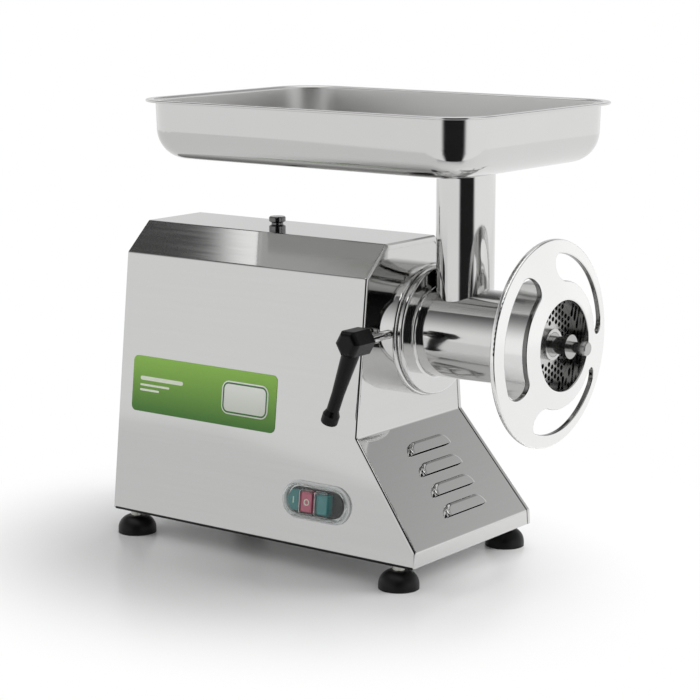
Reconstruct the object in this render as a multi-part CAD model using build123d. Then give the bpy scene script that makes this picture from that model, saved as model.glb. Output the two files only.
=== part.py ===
from build123d import *
import math
import os

# Electric meat grinder on a folded stainless casing, in millimetres.
# Everything is drawn in the casing's own frame: x from the rear face towards
# the outlet, y across, z up from the table. frame_shift then centres it.

# Casing sheet
sheet = 1.2
fold_radius = 3.2
front_fold_ease = 0.2
front_return = 6.0
panel_gap = 0.2
panel_recess = 0.6
foot_height = 25.0
side_top_height = 293.0
case_top_height = 323.0
base_half_width = 104.4
shoulder_half_width = 75.0
top_half_width = 41.6
top_length = 308.5
base_length = 386.4
lip_height = 15.0
bend_height = 139.0
base_plate_thickness = 1.5
base_upstand = 14.0
rear_flange = 14.0
cut_margin = 20.0
overshoot = 1.0
least_forward = 0.1

# Pressed louvres in the sloping front
louvre_count = 4
louvre_length = 68.0
louvre_height = 12.5
louvre_pitch = 23.5
louvre_rise = 4.5
louvre_crown = 0.8
louvre_first = 33.0
louvre_offset = 5.0

# Vents, screws and cable gland of the rear panel
vent_rows = 7
vent_length = 44.0
vent_width = 4.0
vent_pitch = 13.0
vent_across = 32.0
vent_bottom = 120.0
screw_radius = 2.0
screw_head_radius = 4.0
screw_head_height = 2.6
screw_length = 8.0
screw_heights = (58.0, 268.0)
gland_across = -55.0
gland_height = 62.0
gland_thread_radius = 8.0
gland_hex_radius = 12.5
gland_hex_length = 6.0
gland_dome_radius = 9.8
gland_dome_length = 14.0
gland_bore_radius = 4.5
gland_nut_length = 5.0
hole_clearance = 0.15

# Feet
foot_inset_rear = 23.0
foot_inset_front = 25.4
foot_half_spacing = 94.0
foot_radius = 20.0
foot_top_radius = 9.0
foot_pad_height = 18.0
foot_side_height = 4.0
foot_stud_radius = 4.0
foot_collar_radius = 6.5
foot_nut_radius = 7.4
foot_nut_height = 6.0
foot_stud_grip = 9.0
foot_hole_clearance = 0.5

# Peg on the casing's top
peg_distance = 160.0
peg_across = -26.0
peg_radius = 8.5
peg_waist_radius = 6.0
peg_height = 14.5
peg_disc = 4.8
peg_flare = 1.5
peg_chamfer = 1.0
peg_shank_radius = 3.0
peg_shank_length = 10.0
peg_nut_radius = 5.7
peg_nut_height = 5.0

# Side label and switch, placed by distance from the rear and rise up the panel
label_distance = 112.5
label_rise = 135.0
label_length = 191.0
label_height = 58.0
label_thickness = 0.4
label_corner = 6.0
badge_distance = 168.0
badge_length = 60.0
badge_height = 34.0
badge_corner = 9.0
switch_distance = 266.0
switch_rise = 46.0
bezel_length = 82.0
bezel_height = 38.0
bezel_rim = 4.5
bezel_thickness = 2.5
boot_wall = 1.2
boot_rise = 9.0
boot_round = 5.0
boot_inset = 1.0
button_width = 17.0
button_height = 21.0
button_pitch = 19.0
button_first = -25.5
button_stand = 6.0
button_depth = 9.0
button_travel = 3.0
button_gap = 0.35
button_round = 1.5
button_wall = 1.5
switch_body_length = 66.0
switch_body_height = 27.0
switch_body_depth = 34.0

# Drive train
axis_height = 236.4
motor_module = 1.5
motor_pinion_teeth = 14
layshaft_gear_teeth = 48
output_module = 2.0
layshaft_pinion_teeth = 14
output_gear_teeth = 40
pressure_angle = math.radians(20)
addendum = 0.8
dedendum = 1.05
backlash = 0.3
first_gear_width = 14.0
second_gear_width = 26.0
gear_gap = 4.0
gear_room = 6.0
gearbox_wall = 12.0
gearbox_cover_thickness = 18.0
gearbox_rear_wall = 14.0
gearbox_foot_half_width = 42.0
gearbox_foot_depth = 16.0
bracket_half_width = 46.0
bracket_wall = 4.0
cover_bolt_radius = 2.5
cover_bolt_head_radius = 4.25
cover_bolt_head = 5.0
cover_bolt_length = 30.0
motor_radius = 65.0
motor_frame_wall = 5.0
motor_frame_length = 108.0
stator_length = 80.0
rotor_radius = 36.0
air_gap = 0.4
winding_length = 12.0
winding_inner_radius = 40.0
winding_outer_radius = 56.0
shield_thickness = 14.0
fan_gap = 5.0
fan_width = 14.0
fan_radius = 50.0
fan_blades = 8
fan_hub_radius = 13.0
fan_blade_thickness = 3.0
shaft_core_radius = 12.0
pinion_seat_radius = 6.0
layshaft_radius = 9.0
seat_clearance = 0.01
running_clearance = 0.03
shaft_room = 1.0

# Rolling bearings: bore radius, outer radius, width
motor_front_bore = 8.5
motor_front_outer = 20.0
motor_front_width = 12.0
small_bearing_bore = 7.5
small_bearing_outer = 17.5
small_bearing_width = 11.0
output_rear_bore = 12.5
output_rear_outer = 23.5
output_rear_width = 12.0
hub_radius = 20.0
output_front_outer = 31.0
output_front_width = 12.0
output_shaft_radius = 15.0
output_gear_seat_radius = 17.0
hub_shoulder_radius = 23.0
hub_nose = 18.0
hub_clearance = 1.5
drive_square = 20.0
drive_socket_depth = 26.0
drive_clearance = 0.2

# Electrical parts on the base plate
capacitor_radius = 20.0
capacitor_height = 85.0
capacitor_distance = 46.0
capacitor_across = 50.0
contactor_length = 45.0
contactor_width = 50.0
contactor_height = 72.0
contactor_distance = 46.0
contactor_across = -30.0

# Head collar and its clamp
collar_radius = 66.0
collar_bore = 50.0
collar_floor = 6.0
collar_length = 27.0
collar_round = 3.0
collar_bolt_circle = 35.7
collar_bolt_radius = 3.0
collar_bolt_head_radius = 5.0
collar_bolt_head = 6.0
collar_bolt_count = 4
collar_bolt_grip = 12.0
clamp_setback = 7.9
clamp_rise = 3.6
clamp_screw_radius = 4.5
clamp_screw_collar_radius = 6.0
clamp_screw_collar_length = 18.0
clamp_hub_start = 105.0
clamp_hub_end = 135.0
clamp_hub_radius = 14.0
clamp_hub_round = 6.0
clamp_screw_grip = 20.0
clamp_arm_across = 120.0
clamp_arm_length = 88.0
clamp_arm_lean = 20.5
clamp_arm_root_radius = 8.6
clamp_arm_waist_radius = 6.2
clamp_arm_tip_radius = 8.4
clamp_arm_tip_length = 15.0
clamp_tip_gap = 0.3

# Head: barrel, neck, worm, knife, plate and ring wheel
joint_gap = 0.1
spigot_clearance = 0.04
spigot_length = 18.9
spigot_wall = 8.0
barrel_flange_radius = 64.0
barrel_flange = 7.0
barrel_flange_round = 3.0
barrel_cove = 3.0
barrel_radius = 45.0
barrel_wall = 5.0
barrel_rear_wall = 10.0
chamber_length = 107.0
barrel_flare = 12.0
mouth_radius = 55.0
mouth_bore = 49.5
neck_setback = 36.4
neck_radius = 28.5
neck_bore = 26.0
bush_wall = 3.0
worm_journal_radius = 18.0
worm_core_radius = 14.0
worm_clearance = 0.6
worm_pitch = 44.0
worm_blade_root = 13.0
worm_blade_tip = 10.0
worm_end_gap = 1.5
knife_square = 24.0
knife_radius = 47.0
knife_thickness = 10.0
knife_blade_width = 15.0
knife_hub_radius = 20.0
knife_blades = 4
blade_gap = 0.2
plate_clearance = 0.3
plate_thickness = 12.0
plate_proud = 1.0
plate_hole_radius = 2.4
plate_hole_pitch = 6.6
plate_edge = 8.0
plate_boss_radius = 15.0
plate_boss_rise = 5.0
plate_centre_clearance = 0.3
plate_blank_radius = 18.0
key_width = 5.0
key_depth = 3.0
key_gap = 0.4
pin_radius = 6.8
pin_collar_radius = 11.6
pin_collar_width = 4.5
pin_neck_radius = 8.5
pin_waist_radius = 5.2
pin_reach = 42.5
pin_head_width = 5.5
pin_waist_length = 13.0
pin_grip = 15.0
pin_bevel = 1.0
wheel_radius = 100.0
wheel_opening = 43.0
wheel_dish = 16.0
wheel_plate = 6.0
wheel_hub_wall = 4.0
wheel_thread_gap = 0.4
wheel_hub_length = 21.0
wheel_face_rise = 18.2
wheel_slots = 3
wheel_slot_radius = 74.0
wheel_slot_width = 25.0
wheel_slot_span = 73.5
wheel_slot_turn = 47.0
wheel_slot_round = 1.5
wheel_round = 2.0

# Hopper tray
tray_length = 405.4
tray_width = 283.5
tray_front_margin = 96.1
tray_top_height = 458.0
tray_depth = 59.0
tray_flange = 8.0
tray_corner = 47.0
tray_lean = 2.0
tray_base_round = 30.0
tray_hem = 2.4
tray_hem_round = 0.9
tray_rim_round = 3.0
spout_clearance = 0.3
spout_wall = 1.5
spout_length = 36.0

# Places along the grinding axis, worked out from the sizes above
panel_face = top_length - panel_recess
panel_back = panel_face - sheet
cover_back = panel_back - gearbox_cover_thickness
second_gear_front = cover_back - gear_gap
second_gear_back = second_gear_front - second_gear_width
first_gear_front = second_gear_back - gear_gap
first_gear_back = first_gear_front - first_gear_width
cavity_back = first_gear_back - gear_gap
housing_back = cavity_back - gearbox_rear_wall
frame_back = housing_back - motor_frame_length
shield_back = frame_back - shield_thickness
fan_front = shield_back - fan_gap
fan_back = fan_front - fan_width
motor_middle = frame_back + motor_frame_length / 2
stator_back = motor_middle - stator_length / 2
stator_front = motor_middle + stator_length / 2
collar_floor_face = panel_face + collar_floor
collar_front = panel_face + collar_length
hub_end = panel_face + hub_nose
clamp_x = collar_front - clamp_setback
clamp_height = axis_height + clamp_rise
flange_back = collar_front + joint_gap
flange_front = flange_back + barrel_flange
spigot_back = flange_back - spigot_length
chamber_radius = barrel_radius - barrel_wall
spigot_radius = collar_bore - spigot_clearance
spigot_bore = spigot_radius - spigot_wall
chamber_back = flange_back + barrel_flange / 2
rear_wall_back = chamber_back - barrel_rear_wall
chamber_front = chamber_back + chamber_length
neck_x = flange_back + neck_setback
knife_back = chamber_front + blade_gap
knife_front = knife_back + knife_thickness
plate_back = knife_front + blade_gap
plate_front = plate_back + plate_thickness
mouth_front = plate_front - plate_proud
plate_radius = mouth_bore - plate_clearance
wheel_seat = plate_front + joint_gap
wheel_face = wheel_seat + wheel_face_rise
wheel_hub_back = mouth_front - wheel_hub_length
wheel_rim_face = wheel_face - wheel_dish
hub_thread_radius = mouth_radius + wheel_thread_gap
wheel_hub_radius = hub_thread_radius + wheel_hub_wall
pin_end = plate_front + pin_reach
socket_floor = hub_end - drive_socket_depth

# Heights worked out from the gear pairs
layshaft_height = axis_height - output_module * (layshaft_pinion_teeth + output_gear_teeth) / 2
motor_height = layshaft_height - motor_module * (motor_pinion_teeth + layshaft_gear_teeth) / 2
output_tip_radius = output_module * (output_gear_teeth / 2 + addendum)
gearbox_cavity_radius = output_tip_radius + gear_room
gearbox_radius = gearbox_cavity_radius + gearbox_wall
base_top = foot_height + base_plate_thickness
gearbox_foot_bottom = motor_height - gearbox_radius - gearbox_foot_depth / 2

# The tray hangs over the neck
tray_bottom = tray_top_height - tray_depth
neck_top = tray_bottom - joint_gap
tray_front = neck_x + tray_front_margin
tray_middle = tray_front - tray_length / 2
spout_radius = neck_bore - spout_clearance
spout_bore = spout_radius - spout_wall

# The casing's leaning sides
lean = math.atan2(base_half_width - shoulder_half_width, side_top_height - foot_height)

# The origin lies midway between the gland's end and the pin's end
gland_reach = gland_hex_length + gland_dome_length
frame_shift = -(pin_end - gland_reach) / 2


def rod(radius, start, end, height=axis_height, across=0.0):
    """Solid cylinder along the grinding direction."""
    turned_rod = Cylinder(radius, end - start, align=(Align.CENTER, Align.CENTER, Align.MIN))
    return Pos(start, across, height) * Rot(0, 90, 0) * turned_rod


def tube(outer, inner, start, end, height=axis_height, across=0.0):
    """Ring or tube along the grinding direction."""
    return rod(outer, start, end, height, across) - hole(inner, start, end, height, across)


def hole(radius, start, end, height=axis_height, across=0.0):
    """Cutter for a through hole along the grinding direction."""
    return rod(radius, start - overshoot, end + overshoot, height, across)


def turned(points, height=axis_height):
    """Solid of revolution about a line along x, from (x, radius) points."""
    outline = Plane.XZ * make_face(Polyline(*points, close=True))
    return Pos(0, 0, height) * revolve(outline, Axis.X)


def post(radius, bottom, top, distance, across):
    """Upright cylinder."""
    upright = Cylinder(radius, top - bottom, align=(Align.CENTER, Align.CENTER, Align.MIN))
    return Pos(distance, across, bottom) * upright


def block(x_range, y_range, z_range):
    """Box between two corners."""
    size = [high - low for low, high in (x_range, y_range, z_range)]
    middle = [(high + low) / 2 for low, high in (x_range, y_range, z_range)]
    return Pos(*middle) * Box(*size)


def square_bar(side, start, end):
    """Square bar on the grinding axis."""
    half = side / 2
    return block((start, end), (-half, half), (axis_height - half, axis_height + half))


def ring_places(count, first=45.0):
    """Even angles round a circle, in degrees."""
    return [first + 360 * place / count for place in range(count)]


def panel_plane(distance, rise):
    """Plane on the near side panel's outer face, y up the panel, z outwards."""
    across = -base_half_width + rise * math.sin(lean)
    height = foot_height + rise * math.cos(lean)
    outward = (0, -math.cos(lean), math.sin(lean))
    return Plane(origin=(distance, across, height), x_dir=(1, 0, 0), z_dir=outward)


# Casing shells


def casing_bar(inset):
    """Long bar with the casing's cross section, drawn in by inset all round."""
    skirt = cut_margin * math.tan(lean)
    low = foot_height - cut_margin
    corners = [
        (-base_half_width - skirt, low),
        (-shoulder_half_width, side_top_height),
        (-top_half_width, case_top_height),
        (top_half_width, case_top_height),
        (shoulder_half_width, side_top_height),
        (base_half_width + skirt, low),
    ]
    outline = make_face(Polyline(*corners, close=True))
    folds = outline.vertices().filter_by_position(Axis.Y, foot_height, case_top_height + overshoot)
    outline = fillet(folds, fold_radius)
    if inset:
        outline = offset(outline, -inset, kind=Kind.INTERSECTION)
    bar = extrude(Plane.YZ * outline, base_length + 2 * cut_margin)
    return Pos(-cut_margin, 0, 0) * bar


def behind_front(inset):
    """Everything behind the folded front, drawn in by inset."""
    low = foot_height - cut_margin
    high = case_top_height + cut_margin
    corners = [
        (-cut_margin, low),
        (base_length, low),
        (base_length, foot_height + lip_height),
        (top_length, bend_height),
        (top_length, high),
        (-cut_margin, high),
    ]
    outline = make_face(Polyline(*corners, close=True))
    folds = outline.vertices().filter_by_position(Axis.Y, foot_height, bend_height + overshoot)
    outline = fillet(folds, fold_radius)
    if inset:
        outline = offset(outline, -inset, kind=Kind.INTERSECTION)
    return extrude(Plane.XZ * outline, base_half_width + cut_margin, both=True)


def faces_forward(face):
    """True for the upright, sloping and lip faces of the front and the folds between them."""
    return face.normal_at().X > least_forward


def casing_body(inset):
    """Casing's whole form drawn in by inset, with its front edges folded round."""
    body = casing_bar(inset) & behind_front(inset) & above(foot_height)
    underside = body.faces().sort_by(Axis.Z)[0]
    front = body.faces().filter_by(faces_forward)
    sides = [face for face in body.faces() if face not in front and face != underside]
    rim = [edge for edge in front.edges() if edge in ShapeList(sides).edges()]
    return fillet(rim, fold_radius - front_fold_ease - inset)


def above(height, start=0.0):
    """Big block above a height and in front of a distance from the rear."""
    half = base_half_width + 2 * cut_margin
    return block(
        (start, base_length + 2 * cut_margin), (-half, half), (height, case_top_height + 2 * cut_margin)
    )


def switch_opening(depth):
    """Cutter for the switch body's hole in the near panel."""
    outline = SlotOverall(switch_body_length + 2 * panel_gap, switch_body_height + 2 * panel_gap)
    return extrude(panel_plane(switch_distance, switch_rise) * outline, depth, both=True)


def make_casing_wrap():
    """Sides, shoulders and top, folded from one sheet, with front returns and a rear flange."""
    shell = casing_body(0) - casing_body(sheet) - casing_bar(front_return)
    flange_place = panel_recess + sheet
    flange_slice = block(
        (flange_place, flange_place + sheet),
        (-base_half_width, base_half_width),
        (foot_height + base_upstand + panel_gap, case_top_height),
    )
    flange = (casing_bar(sheet / 2) - casing_bar(sheet + rear_flange)) & flange_slice
    peg_hole = post(
        peg_shank_radius + hole_clearance, case_top_height - 2 * sheet, case_top_height + overshoot,
        peg_distance, peg_across,
    )
    wrap = shell + flange - peg_hole - switch_opening(3 * sheet)
    for across, height in screw_places():
        wrap -= rod(screw_radius + hole_clearance, -overshoot, 4 * sheet, height, across)
    return wrap


def screw_places():
    """Places of the rear panel's screws, across and up."""
    places = []
    for height in screw_heights:
        half = base_half_width - (height - foot_height) * math.tan(lean)
        for side in (-1, 1):
            places.append((side * (half - sheet - rear_flange / 2), height))
    return places


def make_front_panel():
    """Upright front, sloping front with louvres, and the lip at the foot."""
    skin = behind_front(panel_recess) - behind_front(panel_recess + sheet)
    panel = skin & casing_bar(front_return + panel_gap) & above(foot_height)
    slope_run = base_length - top_length
    slope_drop = bend_height - foot_height - lip_height
    slope_length = math.hypot(slope_run, slope_drop)
    outward = (slope_drop / slope_length, 0, slope_run / slope_length)
    slope = Plane(
        origin=(
            top_length - panel_recess * outward[0],
            louvre_offset,
            bend_height - panel_recess * outward[2],
        ),
        x_dir=(0, 1, 0),
        z_dir=outward,
    )
    for row in range(louvre_count):
        place = slope * Pos(0, -(louvre_first + row * louvre_pitch), 0)
        panel -= place * louvre_hollow()
        panel += place * louvre_hood()
    panel -= rod(hub_radius + hub_clearance, panel_back - overshoot, panel_face + overshoot)
    for angle in ring_places(collar_bolt_count):
        panel -= collar_bolt_hole(angle, panel_back, panel_face)
    return panel


def louvre_body(inset):
    """Half dome of one louvre, drawn in by inset, cut straight along its lower edge."""
    length = louvre_length - 2 * inset
    reach = louvre_height - inset
    rise = louvre_rise - inset
    dome = extrude(SlotOverall(length, 2 * reach), rise)
    dome = fillet(dome.edges().group_by(Axis.Z)[-1], louvre_crown * rise)
    return dome & block((-length, length), (0, reach), (0, rise))


def louvre_hollow():
    """Space under one louvre, down through the sheet."""
    reach = louvre_height - sheet
    slot = extrude(SlotOverall(louvre_length - 2 * sheet, 2 * reach), -2 * sheet)
    slot = slot & block((-louvre_length, louvre_length), (0, reach), (-2 * sheet, 0))
    return slot + louvre_body(sheet)


def louvre_hood():
    """One louvre, open along its lower edge."""
    return louvre_body(0) - louvre_body(sheet)


def on_circle(circle, angle, radius, start, end):
    """Rod parallel to the grinding axis, at an angle on a circle round it."""
    across = circle * math.cos(math.radians(angle))
    rise = circle * math.sin(math.radians(angle))
    return rod(radius, start, end, axis_height + rise, across)


def collar_bolt_hole(angle, start, end):
    """Clearance hole for one of the collar's bolts."""
    radius = collar_bolt_radius + hole_clearance
    return on_circle(collar_bolt_circle, angle, radius, start - overshoot, end + overshoot)


def make_rear_panel():
    """Flat rear panel with vent slots, gland hole and screw holes."""
    slab = block(
        (panel_recess, panel_recess + sheet),
        (-base_half_width, base_half_width),
        (foot_height, case_top_height),
    )
    panel = slab & casing_bar(sheet + panel_gap)
    for side in (-1, 1):
        for row in range(vent_rows):
            slot = extrude(Plane.YZ * SlotOverall(vent_length, vent_width), 3 * sheet, both=True)
            panel -= Pos(panel_recess, side * vent_across, vent_bottom + row * vent_pitch) * slot
    panel -= rod(gland_thread_radius + hole_clearance, -overshoot, 3 * sheet, gland_height, gland_across)
    for across, height in screw_places():
        panel -= rod(screw_radius + hole_clearance, -overshoot, 3 * sheet, height, across)
    return panel


def foot_places():
    """Centres of the four feet."""
    distances = (foot_inset_rear, base_length - foot_inset_front)
    return [(distance, side * foot_half_spacing) for distance in distances for side in (-1, 1)]


def make_base_plate():
    """Flat bottom with turned-up sides."""
    start = panel_recess + 2 * sheet + panel_gap
    room = casing_body(sheet + panel_gap) & behind_front(panel_recess + sheet + panel_gap)
    room = room & above(foot_height, start)
    floor_slab = room - above(base_top)
    side_walls = room - casing_bar(sheet + panel_gap + base_plate_thickness)
    side_walls = side_walls - above(foot_height + base_upstand)
    plate = floor_slab + side_walls
    for distance, across in foot_places():
        hole_radius = foot_stud_radius + foot_hole_clearance
        plate -= post(hole_radius, foot_height - overshoot, base_top + overshoot, distance, across)
    return plate


# Feet and small casing fittings


def make_rubber_feet():
    """Four domed rubber pads."""
    shoulder = (foot_radius, foot_side_height)
    crown = (foot_top_radius, foot_pad_height)
    outline = make_face(
        [
            Polyline(crown, (0, foot_pad_height), (0, 0), (foot_radius, 0), shoulder),
            TangentArc(shoulder, crown, tangent=(0, 1)),
        ]
    )
    pad = revolve(Plane.XZ * outline, Axis.Z)
    pad -= post(foot_stud_radius, foot_pad_height / 2, foot_pad_height + overshoot, 0, 0)
    return Compound([Pos(distance, across, 0) * pad.solid() for distance, across in foot_places()])


def make_foot_studs():
    """Four threaded studs with a round collar under the base plate."""
    studs = []
    for distance, across in foot_places():
        stud = post(foot_stud_radius, foot_pad_height / 2, base_top + foot_stud_grip, distance, across)
        collar = post(foot_collar_radius, foot_pad_height, foot_height, distance, across)
        studs.append((stud + collar).solid())
    return Compound(studs)


def make_foot_nuts():
    """Four hexagon nuts inside the base plate."""
    nuts = []
    for distance, across in foot_places():
        nut = extrude(RegularPolygon(foot_nut_radius, 6), foot_nut_height)
        hole = post(foot_stud_radius, -overshoot, foot_nut_height + overshoot, 0, 0)
        nuts.append((Pos(distance, across, base_top) * (nut - hole)).solid())
    return Compound(nuts)


def make_rear_screws():
    """Pan-head screws of the rear panel."""
    screws = []
    for across, height in screw_places():
        head = rod(screw_head_radius, panel_recess - screw_head_height, panel_recess, height, across)
        head = fillet(head.edges().group_by(Axis.X)[0], screw_head_height / 3)
        shank = rod(screw_radius, panel_recess, panel_recess + screw_length, height, across)
        screws.append((head + shank).solid())
    return Compound(screws)


def make_cable_gland():
    """Cable gland in the rear panel, with an open bore and no cord."""
    hexagon = extrude(Plane.YZ * RegularPolygon(gland_hex_radius, 6), -gland_hex_length)
    hexagon = Pos(panel_recess, gland_across, gland_height) * hexagon
    dome_front = panel_recess - gland_hex_length
    dome = rod(gland_dome_radius, -gland_reach, dome_front, gland_height, gland_across)
    dome = fillet(dome.edges().group_by(Axis.X)[0], gland_dome_radius / 3)
    thread_end = panel_recess + sheet + gland_nut_length + 2 * sheet
    thread = rod(gland_thread_radius, panel_recess, thread_end, gland_height, gland_across)
    bore = hole(gland_bore_radius, -gland_reach, thread_end, gland_height, gland_across)
    return hexagon + dome + thread - bore


def make_gland_nut():
    """Hexagon nut of the gland, inside the rear panel."""
    start = panel_recess + sheet
    nut = extrude(Plane.YZ * RegularPolygon(gland_hex_radius, 6), gland_nut_length)
    nut = Pos(start, gland_across, gland_height) * nut
    return nut - hole(gland_thread_radius, start, start + gland_nut_length, gland_height, gland_across)


def make_top_peg():
    """Turned spool-shaped peg, screwed through the top."""
    head_bottom = peg_height - peg_disc
    flanks = [
        (0, 0),
        (peg_radius, 0),
        (peg_radius, peg_disc),
        (peg_waist_radius, peg_disc + peg_flare),
        (peg_waist_radius, head_bottom - peg_flare),
        (peg_radius, head_bottom),
        (peg_radius, peg_height),
        (0, peg_height),
    ]
    spool = revolve(Plane.XZ * make_face(Polyline(*flanks, close=True)), Axis.Z)
    spool = chamfer(spool.edges().group_by(Axis.Z)[-1], peg_chamfer)
    shank = post(peg_shank_radius, -peg_shank_length, 0, 0, 0)
    return Pos(peg_distance, peg_across, case_top_height) * (spool + shank)


def make_peg_nut():
    """Nut under the casing's top that holds the peg."""
    nut = extrude(RegularPolygon(peg_nut_radius, 6), -peg_nut_height)
    nut -= post(peg_shank_radius, -peg_nut_height - overshoot, overshoot, 0, 0)
    return Pos(peg_distance, peg_across, case_top_height - sheet) * nut


# Side label and switch


def make_side_label():
    """Thin plain label plate on the near side panel."""
    outline = RectangleRounded(label_length, label_height, label_corner)
    return extrude(panel_plane(label_distance, label_rise) * outline, label_thickness)


def make_label_badge():
    """Blank rounded plate on the label."""
    outline = RectangleRounded(badge_length, badge_height, badge_corner)
    place = panel_plane(badge_distance, label_rise) * Pos(0, 0, label_thickness)
    return extrude(place * outline, label_thickness)


def make_switch_bezel():
    """Oval rim that holds the clear boot against the panel."""
    ring = SlotOverall(bezel_length, bezel_height)
    ring -= SlotOverall(bezel_length - 2 * bezel_rim, bezel_height - 2 * bezel_rim)
    bezel = extrude(ring, bezel_thickness)
    outer_edges = bezel.edges().group_by(Axis.Z)[-1]
    bezel = chamfer(outer_edges, bezel_thickness / 4)
    return panel_plane(switch_distance, switch_rise) * bezel


def make_switch_boot():
    """Clear silicone boot over the buttons."""
    length = bezel_length - 2 * boot_inset
    height = bezel_height - 2 * boot_inset
    shell = boot_dome(length, height, boot_rise, boot_round)
    hollow = boot_dome(
        length - 2 * boot_wall, height - 2 * boot_wall, boot_rise - boot_wall, boot_round - boot_wall
    )
    place = panel_plane(switch_distance, switch_rise) * Pos(0, 0, bezel_thickness)
    return place * (shell - hollow)


def boot_dome(length, height, rise, rounding):
    """Oval block with a rounded top."""
    dome = extrude(SlotOverall(length, height), rise)
    return fillet(dome.edges().group_by(Axis.Z)[-1], rounding)


def button_shape(offset_along, gap):
    """Outline of one button, trimmed by the switch's round ends, grown by gap."""
    pad = RectangleRounded(button_width + 2 * gap, button_height + 2 * gap, button_round + gap)
    trim = 2 * (button_wall - gap)
    return (Pos(offset_along, 0) * pad) & SlotOverall(switch_body_length - trim, switch_body_height - trim)


def button_places():
    """Offsets of the three buttons along the switch."""
    return [button_first + button_pitch * place for place in range(3)]


def make_switch_body():
    """Switch block behind the panel, with three button pockets."""
    body = extrude(SlotOverall(switch_body_length, switch_body_height), -switch_body_depth)
    body += extrude(SlotOverall(switch_body_length, switch_body_height), bezel_thickness)
    for offset_along in button_places():
        pocket_outline = button_shape(offset_along, button_gap)
        body -= extrude(pocket_outline, bezel_thickness + overshoot)
        body -= extrude(pocket_outline, -(button_depth + button_travel + button_gap))
    return panel_plane(switch_distance, switch_rise) * body


def make_button(offset_along):
    """One push button, standing a little proud of the switch body."""
    outline = button_shape(offset_along, 0)
    cap = extrude(outline, button_stand)
    cap = fillet(cap.edges().group_by(Axis.Z)[-1], button_round / 2)
    stem = extrude(outline, -button_depth)
    return panel_plane(switch_distance, switch_rise) * (stem + cap)


# Motor and gearbox


def involute(angle):
    """Involute function of a pressure angle."""
    return math.tan(angle) - angle


def gear_outline(teeth, module, tooth_at):
    """Straight-sided involute gear outline with one tooth centred at tooth_at degrees."""
    pitch_radius = teeth * module / 2
    base_radius = pitch_radius * math.cos(pressure_angle)
    tip_radius = pitch_radius + addendum * module
    root_radius = pitch_radius - dedendum * module
    half_tooth = math.pi / (2 * teeth) - backlash / (4 * pitch_radius)
    flank_start = max(root_radius, base_radius)
    middle_radius = (pitch_radius + tip_radius) / 2
    flank = []
    for radius in sorted({root_radius, flank_start, pitch_radius, middle_radius, tip_radius}):
        local = math.acos(base_radius / max(radius, base_radius))
        flank.append((radius, half_tooth + involute(pressure_angle) - involute(local)))
    points = []
    for tooth in range(teeth):
        centre = math.radians(tooth_at) + 2 * math.pi * tooth / teeth
        rising = [(radius, centre - angle) for radius, angle in flank]
        falling = [(radius, centre + angle) for radius, angle in reversed(flank)]
        for radius, angle in rising + falling:
            points.append((radius * math.cos(angle), radius * math.sin(angle)))
    return make_face(Polyline(*points, close=True))


def spur_gear(teeth, module, start, end, height, tooth_at):
    """Solid spur gear on an axis along x."""
    wheel = extrude(Plane.YZ * gear_outline(teeth, module, tooth_at), end - start)
    return Pos(start, 0, height) * wheel


def make_motor_pinion():
    """Pinion pressed on the motor shaft, one tooth straight up."""
    pinion = spur_gear(
        motor_pinion_teeth, motor_module, first_gear_back, first_gear_front, motor_height, 90
    )
    seat = pinion_seat_radius + seat_clearance
    return pinion - rod(seat, first_gear_back - overshoot, first_gear_front + overshoot, motor_height)


def make_layshaft_gear():
    """Large gear of the first pair, with a gap straight down."""
    tooth_at = -90 + 180 / layshaft_gear_teeth
    gear = spur_gear(
        layshaft_gear_teeth, motor_module, first_gear_back, first_gear_front, layshaft_height, tooth_at
    )
    seat = layshaft_radius + seat_clearance
    return gear - rod(seat, first_gear_back - overshoot, first_gear_front + overshoot, layshaft_height)


def make_layshaft():
    """Layshaft with its own pinion cut on it, one tooth straight up."""
    journal_back = cavity_back - small_bearing_width
    journal_front = cover_back + small_bearing_width
    shaft = turned(
        [
            (journal_back, 0),
            (journal_back, small_bearing_bore - running_clearance),
            (cavity_back, small_bearing_bore - running_clearance),
            (cavity_back, layshaft_radius),
            (cover_back, layshaft_radius),
            (cover_back, small_bearing_bore - running_clearance),
            (journal_front, small_bearing_bore - running_clearance),
            (journal_front, 0),
        ],
        layshaft_height,
    )
    return shaft + spur_gear(
        layshaft_pinion_teeth, output_module, second_gear_back, second_gear_front, layshaft_height, 90
    )


def make_output_gear():
    """Large gear on the drive hub, with a gap straight down."""
    tooth_at = -90 + 180 / output_gear_teeth
    gear = spur_gear(
        output_gear_teeth, output_module, second_gear_back, second_gear_front, axis_height, tooth_at
    )
    seat = output_gear_seat_radius + seat_clearance
    return gear - rod(seat, second_gear_back - overshoot, second_gear_front + overshoot)


def make_drive_hub():
    """Output shaft that ends in a square socket for the worm."""
    journal_back = cavity_back - output_rear_width
    rear_journal = output_rear_bore - running_clearance
    front_journal = hub_radius - running_clearance
    hub = turned(
        [
            (journal_back, 0),
            (journal_back, rear_journal),
            (cavity_back, rear_journal),
            (cavity_back, output_shaft_radius),
            (second_gear_back, output_shaft_radius),
            (second_gear_back, output_gear_seat_radius),
            (second_gear_front, output_gear_seat_radius),
            (second_gear_front, hub_shoulder_radius),
            (cover_back - seat_clearance, hub_shoulder_radius),
            (cover_back - seat_clearance, front_journal),
            (hub_end, front_journal),
            (hub_end, 0),
        ]
    )
    return hub - square_bar(drive_square, socket_floor, hub_end + overshoot)


def gearbox_slab(radius, start, end):
    """Upright long-round slab that covers all three gear axes."""
    upper = rod(radius, start, end, axis_height)
    lower = rod(radius, start, end, motor_height)
    web = block((start, end), (-radius, radius), (motor_height, axis_height))
    return upper + lower + web


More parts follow.
